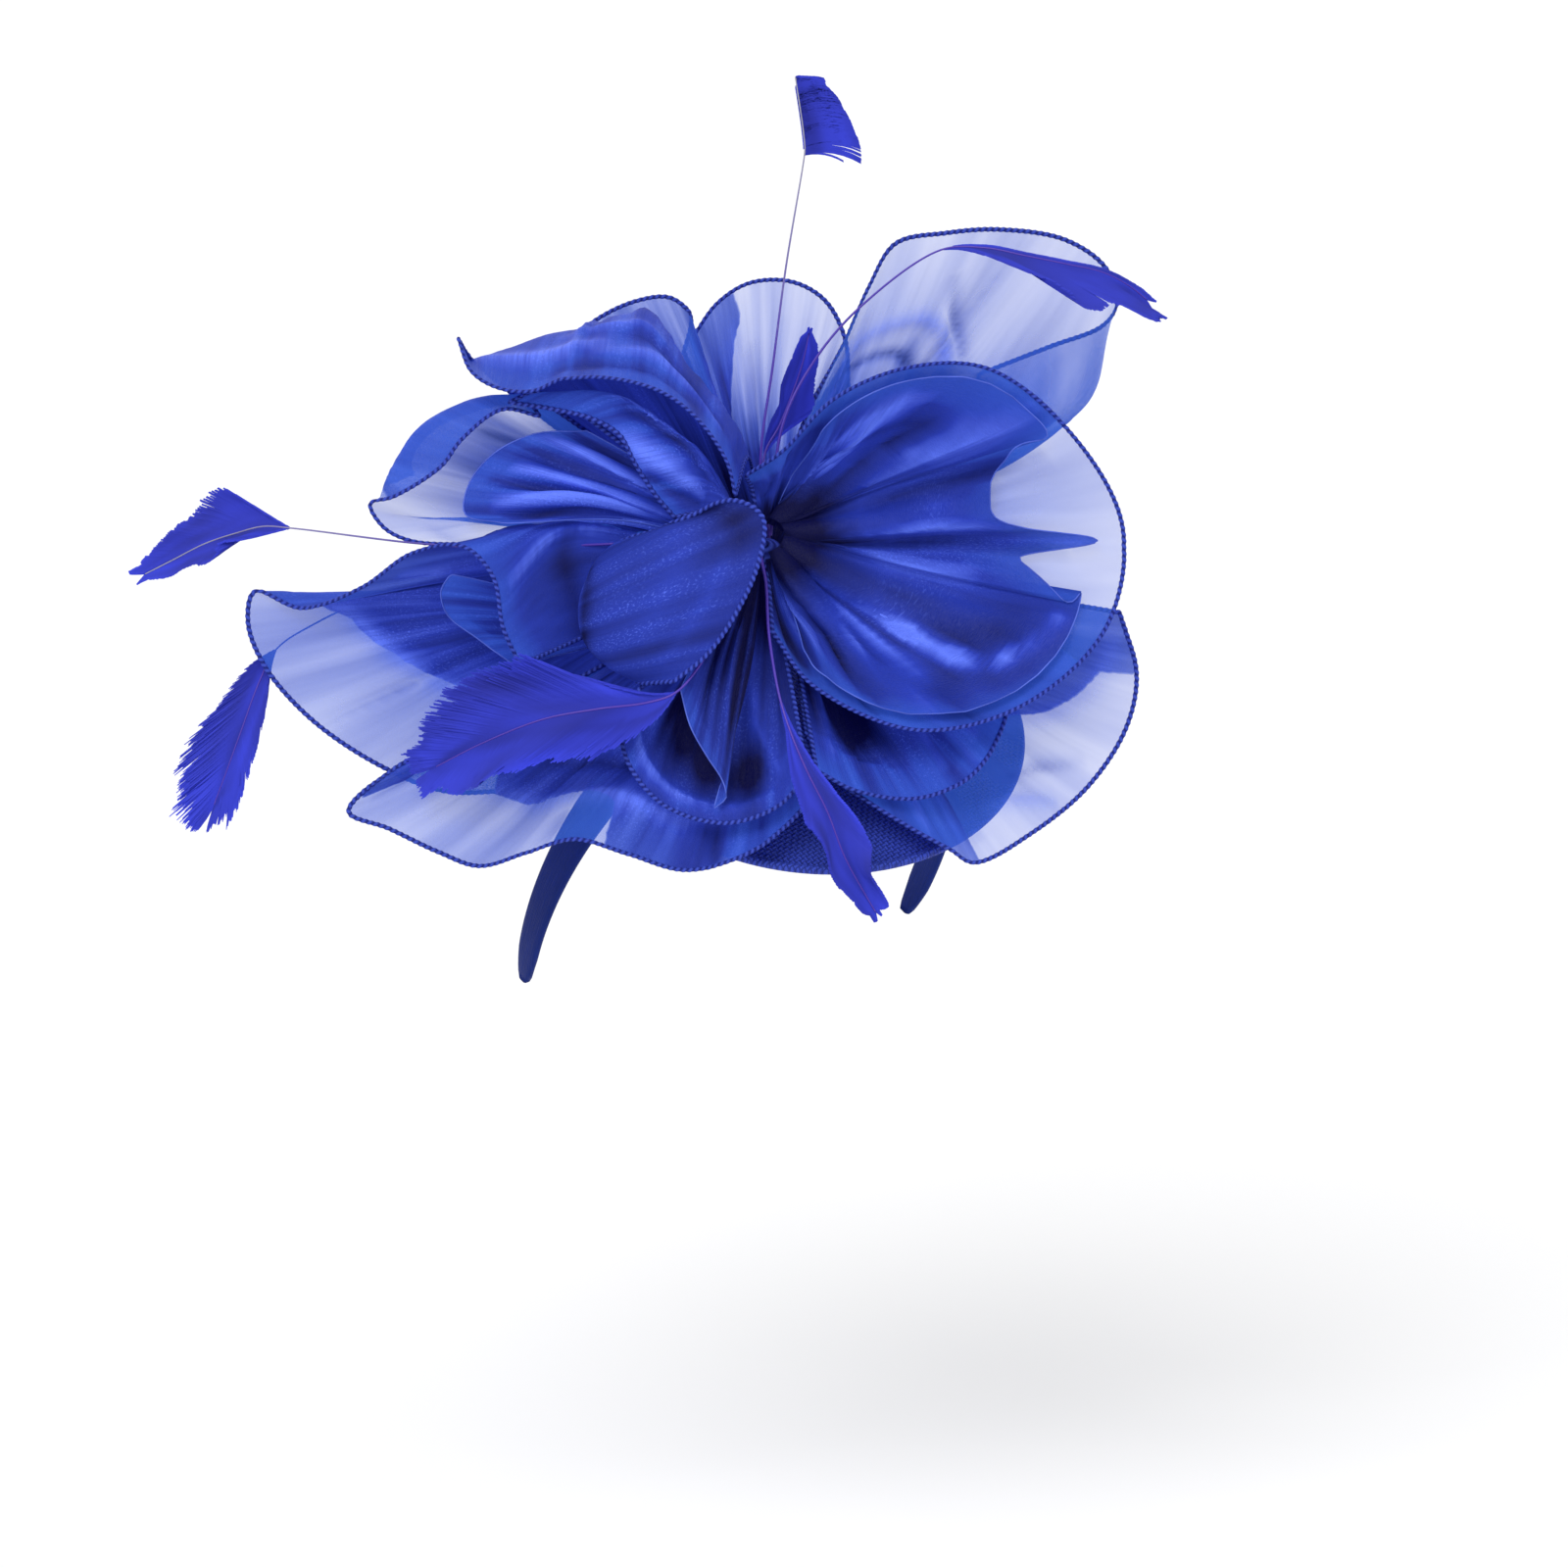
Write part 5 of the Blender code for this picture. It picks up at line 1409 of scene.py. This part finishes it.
def quill_line(feather):
    """The quill's points with the vane's widths, how far along each lies, and its three directions."""
    start = core_ring(feather.degrees, feather.depth, CORE_RADIUS + GAP + QUILL)[0]
    table = np.vstack([[*start, 0, 0], np.array(feather.stations, float)])
    place = np.linspace(0, len(table) - 1, (len(table) - 1) * STATION_STEPS + 1)
    before = np.minimum(place.astype(int), len(table) - 2)
    path = curve_through(table[:, :3], before, place - before)
    width = read_at(table[:, 3:], before, place - before)
    before, share = stations_along(path, round(length_of(path) / PATH_STEP))
    path, width = read_at(path, before, share), read_at(width, before, share)
    walk = np.linspace(0, length_of(path), len(path))
    along = unit(np.gradient(path, axis=0))
    across = unit(np.cross(along, np.array(feather.face)))
    return Quill(path, width, walk, along, across, np.cross(across, along))


print("the left feather is", round(quill_line(FEATHERS["left_feather"]).walk[-1]), "mm long")

# %% [markdown]
# ## Barbs
#
# Barbs cling together in tufts, so each tuft turns a little and has its own length, and the edge frays.
# A barb's length follows from its slant: it ends where it meets the edge of the vane. All barbs could
# be copies of one, but then the vane would look like a comb.

# %% One barb
BARB_WIDE = 0.25  # half a barb's width at its root, mm
BARB_SPREAD = 0.8  # how much wider it grows towards its end
BARB_PARTS = 7  # rows of points
BLUNT = 0.1  # how much of its width the end loses,
FUZZ_POINTS = 5  # how much more for each unit of fuzz,
FINEST = 0.85  # and at most

Vane = namedtuple("Vane", "points places faces")
Barb = namedtuple("Barb", "root along across rise reach slant curl where")


def add_barb(vane, feather, barb):
    """A ribbon from the quill at a slant, which bends towards the feather's tip, or away."""
    finer = min(FINEST, BLUNT + FUZZ_POINTS * feather.fuzz)
    start = len(vane.points)
    for part in np.linspace(0, 1, BARB_PARTS):
        lean = barb.slant * (1 - feather.bend * part)
        spot = (barb.root + barb.across * (barb.reach * part * sin(barb.slant))
                + barb.along * (barb.reach * part * cos(lean))
                + barb.rise * (barb.curl * barb.reach * part ** 2))
        half = (barb.along * sin(barb.slant) - barb.across * cos(barb.slant)) * BARB_WIDE
        half = half * (1 + BARB_SPREAD * part)
        half *= 1 - finer * part ** 4
        vane.points.extend([spot - half, spot + half])
        vane.places.extend([(barb.where, part), (barb.where, part)])
    for step in range(BARB_PARTS - 1):
        corner = start + 2 * step
        vane.faces.append((corner, corner + 1, corner + 3, corner + 2))


print("a barb has", 2 * BARB_PARTS, "points and", BARB_PARTS - 1, "faces")

# %% How long a barb is
OVERHANG = 1.5  # how far the last barbs reach past the quill, mm
FUZZ_OVERHANG = 60  # and how much more for each unit of fuzz
REACH_TRIES = 4  # each try reads the vane's width where the last one ended
TIP_LENGTH = 16.0  # mm before the tip where the barbs begin to turn along the quill
TIP_CLOSING = 0.75  # how much of their slant the last barbs lose
FUZZY = 0.06  # only plumes with more fuzz than this close over their tip


def barb_slant(feather, tilt, to_tip):
    """Angle between a barb and the quill."""
    slant = feather.slant * (1 + tilt)
    if feather.fuzz > FUZZY:
        slant *= 1 - TIP_CLOSING * max(0, 1 - to_tip / TIP_LENGTH)
    return slant


def barb_reach(feather, quill, edge, station, slant):
    """Length of a barb that leaves the quill at a station and ends on the edge of the vane."""
    last = quill.walk[-1]
    reach = np.interp(station, quill.walk, quill.width[:, edge]) / sin(slant)
    for _ in range(REACH_TRIES):
        tip = min(station + reach * cos(slant), last)
        reach = np.interp(tip, quill.walk, quill.width[:, edge]) / sin(slant)
    beyond = OVERHANG + FUZZ_OVERHANG * feather.fuzz
    return min(reach, (last - station) / abs(cos(slant * (1 - feather.bend / 2))) + beyond)


closing = [name for name, feather in FEATHERS.items() if feather.fuzz > FUZZY]
print("plumes that close over their tip:", closing)

# %% Both sides of a vane
BARB_STEP = 0.28  # distance between barbs along the quill, mm
BARB_LEAD = 3  # mm of quill below the vane's first width where barbs may start
SHORTEST_BARB = 0.5  # mm
TUFT = (14, 44)  # barbs that cling together, fewest and most
LIFT_SHARE = 0.3  # how much of its fray a tuft is lifted by
SIDES = ((0, -1), (1, 1))  # the width's column, and the side of the quill


def fill_side(vane, feather, quill, edge, sign, random):
    """Barbs along one side of the quill, tuft by tuft."""
    last = quill.walk[-1]
    first = quill.walk[np.flatnonzero(quill.width[:, edge] > 0)[0]]
    tuft_end = 0
    for index, station in enumerate(np.arange(max(0, first - BARB_LEAD), last, BARB_STEP)):
        if index >= tuft_end:
            tuft_start, tuft_end = index, index + random.integers(*TUFT)
            tilt, longer = random.normal(0, feather.fray, 2)
            lift = random.normal(0, feather.fray)
        # the middle barbs of a tuft are the longest
        lobe = sin(pi * (index - tuft_start + 0.5) / (tuft_end - tuft_start)) ** 0.5
        slant = barb_slant(feather, tilt, last - station)
        reach = barb_reach(feather, quill, edge, station, slant)
        fuzz = abs(random.normal(0, feather.fuzz))
        reach *= (1 + longer) * (1 - feather.fray * (1 - lobe)) * (1 - fuzz)
        if reach < SHORTEST_BARB:
            continue
        # where the barb leaves the quill, between two points of its path
        at = np.interp(station, quill.walk, np.arange(len(quill.walk)))
        low = min(int(at), len(quill.walk) - 2)
        root = quill.path[low] + (quill.path[low + 1] - quill.path[low]) * (at - low)
        add_barb(vane, feather, Barb(root, quill.along[low], quill.across[low] * sign, quill.rise[low], reach,
                                     slant, feather.curl + lift * LIFT_SHARE, station * MM + edge))


print("barbs to the centimetre:", round(10 / BARB_STEP))

# %% Quills and vanes
QUILL_SIDES = 8
QUILL_TAPER = 0.65  # share of its radius that a quill loses on its way to the tip
QUILL_SKIP = 3  # every third point of the path gets a ring


def make_quill(name, feather, quill):
    """The quill as a tapering tube, paler towards its tip if the feather says so."""
    wide = QUILL * (1 - QUILL_TAPER * quill.walk / quill.walk[-1])
    rings = [[quill.path[place] + quill.across[place] * wide[place] * cos(turn)
              + quill.rise[place] * wide[place] * sin(turn)
              for place in range(0, len(quill.path), QUILL_SKIP)]
             for turn in 2 * pi * np.arange(QUILL_SIDES) / QUILL_SIDES]
    count = len(rings[0])
    piece = add_mesh(f"{name}_quill", np.concatenate(rings), tube_faces(QUILL_SIDES, count),
                     quill_paint.material, FLOWER)
    add_places(piece, "cloth", [(ring / count * feather.pale, turn / QUILL_SIDES)
                                for turn in range(QUILL_SIDES) for ring in range(count)])


def make_feather(name, feather, seed):
    """Quill and vane of one feather."""
    random = np.random.default_rng(seed)
    quill = quill_line(feather)
    vane = Vane([], [], [])
    for edge, sign in SIDES:
        fill_side(vane, feather, quill, edge, sign, random)
    make_quill(name, feather, quill)
    piece = add_mesh(f"{name}_vane", vane.points, vane.faces, feather_paint.material, FLOWER,
                     smooth=False)
    add_places(piece, "cloth", vane.places)
    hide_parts(name)
    print(name, len(vane.faces), "faces in the vane,", round(quill.walk[-1]), "mm long")


for seed, (name, feather) in enumerate(FEATHERS.items()):
    make_feather(name, feather, seed)

# %% [markdown]
# ## The core
#
# All the gathered edges are stitched to a short stem that stands on the base, and thread is wound over
# them. It hardly shows from the front, but it does from behind and from the side. A helix of real thread
# would need far more faces, so the hem's wound tube is used again, thicker and with finer turns.

# %% Winding the core
CORE_FRONT = -5.0  # mm: its front end lies a little inside the gathers
CORE_BACK = 49.5  # mm from there to its foot
CORE_STEPS = 60
CORE_WINDING = Winding(5.3, 5.3, 1.5, 0.035, 0.35, 24)

core_walk = CORE_FRONT - np.linspace(0, CORE_BACK, CORE_STEPS)
core_path = core_walk[:, None] * np.array(CORE_AXIS)
core_flat = np.tile(core_ring(0, 0, 1.0)[0], (CORE_STEPS, 1))
core = wound_tube("core_winding", core_path, core_flat, CORE_WINDING, thread_paint.material)
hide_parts("flower_core")
print("core wound:", len(core.data.polygons), "faces")

# %% [markdown]
# ## The woven base
#
# The base is a disc of stiffened, loosely woven fabric, pressed over a block into a shallow dome and
# turned over at its edge. The weave is coarse enough to see: plain over and under, just over a
# millimetre to the thread. Modelled thread by thread it would need tens of thousands of faces, for a
# piece that the flower mostly covers. So it is relief in the finish, and only the dome and the rolled
# edge are shape.

# %% The woven finish
WEAVE = 1.25  # one thread, mm
WEAVE_DARK = (0.010, 0.022, 0.22, 1)
WEAVE_LIGHT = (0.045, 0.085, 0.58, 1)
WEAVE_RELIEF = 0.0006  # metres


def weave(paint, x, y):
    """Height of a plain weave whose cells are one unit wide, 0 to 1."""
    across = paint.maths("ABSOLUTE", paint.maths("SINE", x * pi))
    along = paint.maths("ABSOLUTE", paint.maths("SINE", y * pi))
    over = (paint.maths("FLOOR", x) + paint.maths("FLOOR", y)) % 2.0
    return across * over + along * (1 - over)


base_paint = Paint("woven_base", {"Specular IOR Level": 0.25})
base_x, base_y = base_paint.place("cloth")
cells_x, cells_y = base_x * (1 / (WEAVE * MM)), base_y * (1 / (WEAVE * MM))
height = weave(base_paint, cells_x, cells_y)
# slubs are long, thick stretches of thread and are lighter; the raised threads are lighter too, with painted
# shade in the hollows of the weave
slub = base_paint.noise(cells_x * 0.12, cells_y * 1.1)
base_paint.feed("Base Color", base_paint.blend(height * 0.6 + slub * 0.4, WEAVE_DARK, WEAVE_LIGHT))
base_paint.feed("Roughness", slub * 0.2 + 0.55)
base_paint.bump(height + slub * 0.4, WEAVE_RELIEF)
print("the weave has", round(1 / (WEAVE * MM)), "threads to the metre")

# %% Shaping the base
BASE_CENTRE = Vector((-19.8, -22.0, -15.2))
BASE_NORMAL = Vector((-0.228, -0.448, 0.864)).normalized()
BASE_RADIUS = 64.0  # mm
BASE_DOME = 6.0  # height of its middle over its rim
BASE_THICKNESS = 1.5
BASE_EDGE = 1.4  # radius of the rolled edge
BASE_EDGE_DEEP = 1.05  # how deep it is over how wide
BASE_CAP = 1  # mm, radius of the flat caps in the middle of both faces
BASE_COLUMNS = 128
BASE_RINGS = 20
EDGE_RINGS = 9
EDGE_CUT = 0.2  # radians left out at both ends of the roll, where the two faces join it

BASE_SIDE = Vector((0, 1, 0)).cross(BASE_NORMAL).normalized()
BASE = frame_from(BASE_SIDE, BASE_NORMAL.cross(BASE_SIDE), BASE_NORMAL, BASE_CENTRE)


def dome_height(radius):
    """Height of the base's upper face over its rim plane."""
    return BASE_DOME * (1 - (radius / BASE_RADIUS) ** 2)


def base_profile():
    """Radius and height from the middle of the underside, round the rolled edge, to the top."""
    under = [(radius, dome_height(radius) - BASE_THICKNESS)
             for radius in np.linspace(BASE_CAP, BASE_RADIUS - BASE_EDGE, BASE_RINGS)]
    edge = [(BASE_RADIUS + BASE_EDGE * sin(turn), -BASE_EDGE * cos(turn) * BASE_EDGE_DEEP)
            for turn in np.linspace(EDGE_CUT, pi - EDGE_CUT, EDGE_RINGS)]
    upper = [(radius, dome_height(radius)) for radius, _ in reversed(under)]
    return under + edge + upper


profile = base_profile()
turns = 2 * pi * np.arange(BASE_COLUMNS) / BASE_COLUMNS
base_points = [(radius * cos(turn), radius * sin(turn), rise) for turn in turns for radius, rise in profile]
base = add_mesh("woven_base", base_points, tube_faces(BASE_COLUMNS, len(profile)), base_paint.material, BASE)
add_places(base, "cloth", [(x * MM, y * MM) for x, y, _ in base_points])
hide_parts("base_disc")
print("base:", len(base.data.polygons), "faces,", 2 * (BASE_RADIUS + BASE_EDGE), "mm across")

# %% [markdown]
# ## The satin headband
#
# A springy plastic strip is covered in satin, so its edges are soft and its ends are rounded. A curve
# with a bevel could be the arch, but all its outlines would have one shape. Here each is worked out by
# itself, so the band can narrow and its ends can close in. Satin has a smooth face with long floats,
# which run along the band and give it a quiet gloss.

# %% Satin
SATIN_DARK = (0.004, 0.013, 0.10, 1)
SATIN_LIGHT = (0.013, 0.032, 0.24, 1)
SATIN_RELIEF = 0.0002  # metres

satin_paint = Paint("satin", {"Specular IOR Level": 0.07})
satin_x, satin_y = satin_paint.place("cloth")
# floats are long and very narrow, and the clouds that cross them are broad
floats = satin_paint.noise(satin_x * 120, satin_y * 2600, 1.0)
clouds = satin_paint.noise(satin_x * 40, satin_y * 60)
satin_paint.feed("Base Color", satin_paint.blend(floats * 0.5 + clouds * 0.5, SATIN_DARK, SATIN_LIGHT))
satin_paint.feed("Roughness", clouds * 0.2 + 0.36)
satin_paint.bump(floats, SATIN_RELIEF)
print("satin painted from", SATIN_DARK[:3], "to", SATIN_LIGHT[:3])

# %% The band
BAND_HALF_WIDTH = 76.0  # mm, inside the arch
BAND_DROP = 87.0  # mm, from the top of the arch to its widest level
BAND_REACH = radians(105)  # how far each arm goes round the arch
BAND_TILT = radians(26)  # how far its ends swing back from under its top
BAND_WIDE = 14.0  # over the top
BAND_NARROW = 8.0  # towards the ends
BAND_THICK = 2.5  # mm
BAND_TAPER = 0.4  # share of each arm that narrows
BAND_TIP = 0.07  # share of each arm that is rounded
BAND_TIP_WIDTH = 0.45  # width of the very end, over the width before it
BAND_SOFTNESS = 0.55  # power of the outline: 1 is an oval, less is a softened box
BAND_RINGS = 150
BAND_SIDES = 20


def band_point(turn, outward, across):
    """A point of the headband: turn along the arch, outward from its inner face, across its width."""
    x, drop = BAND_HALF_WIDTH * sin(turn), BAND_DROP * (1 - cos(turn))
    normal = Vector((BAND_DROP * sin(turn), -BAND_HALF_WIDTH * cos(turn))).normalized()
    x, drop = x + normal.x * outward, drop + normal.y * outward
    y = drop * sin(BAND_TILT) + across * cos(BAND_TILT)
    z = across * sin(BAND_TILT) - drop * cos(BAND_TILT)
    return (x, y, z)


def rounded(turn, power):
    """A point of a flat, soft-edged outline: out as 0 to 1, across as -1 to 1."""
    out, across = sin(turn), cos(turn)
    return (0.5 + 0.5 * abs(out) ** power * (1 if out > 0 else -1),
            abs(across) ** power * (1 if across > 0 else -1))


band_points, band_places = [], []
for side in range(BAND_SIDES):
    out, across = rounded(2 * pi * side / BAND_SIDES, BAND_SOFTNESS)
    for turn in np.linspace(-BAND_REACH, BAND_REACH, BAND_RINGS):
        to_tip = (BAND_REACH - abs(turn)) / BAND_REACH
        width = BAND_NARROW + (BAND_WIDE - BAND_NARROW) * min(1, to_tip / BAND_TAPER)
        width *= min(1, BAND_TIP_WIDTH + (1 - BAND_TIP_WIDTH) * (to_tip / BAND_TIP) ** 0.5)
        band_points.append(band_point(turn, out * BAND_THICK, across * width / 2))
        band_places.append((turn * BAND_DROP * MM, across * width / 2 * MM))
band = add_mesh("satin_band", band_points, tube_faces(BAND_SIDES, BAND_RINGS), satin_paint.material,
                Matrix.Identity(4))
add_places(band, "cloth", band_places)
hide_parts("headband")
print("headband:", len(band.data.polygons), "faces")

# %% [markdown]
# ## The pieces
#
# Last, the pieces that render, with the floor, are counted. The dressed hat has to stay within the
# solids' box, apart from a little for the cloth.

# %% Counting the pieces
pieces = [piece for piece in bpy.data.objects if piece.type == "MESH" and not piece.hide_render]
print("pieces, with the floor:", len(pieces))
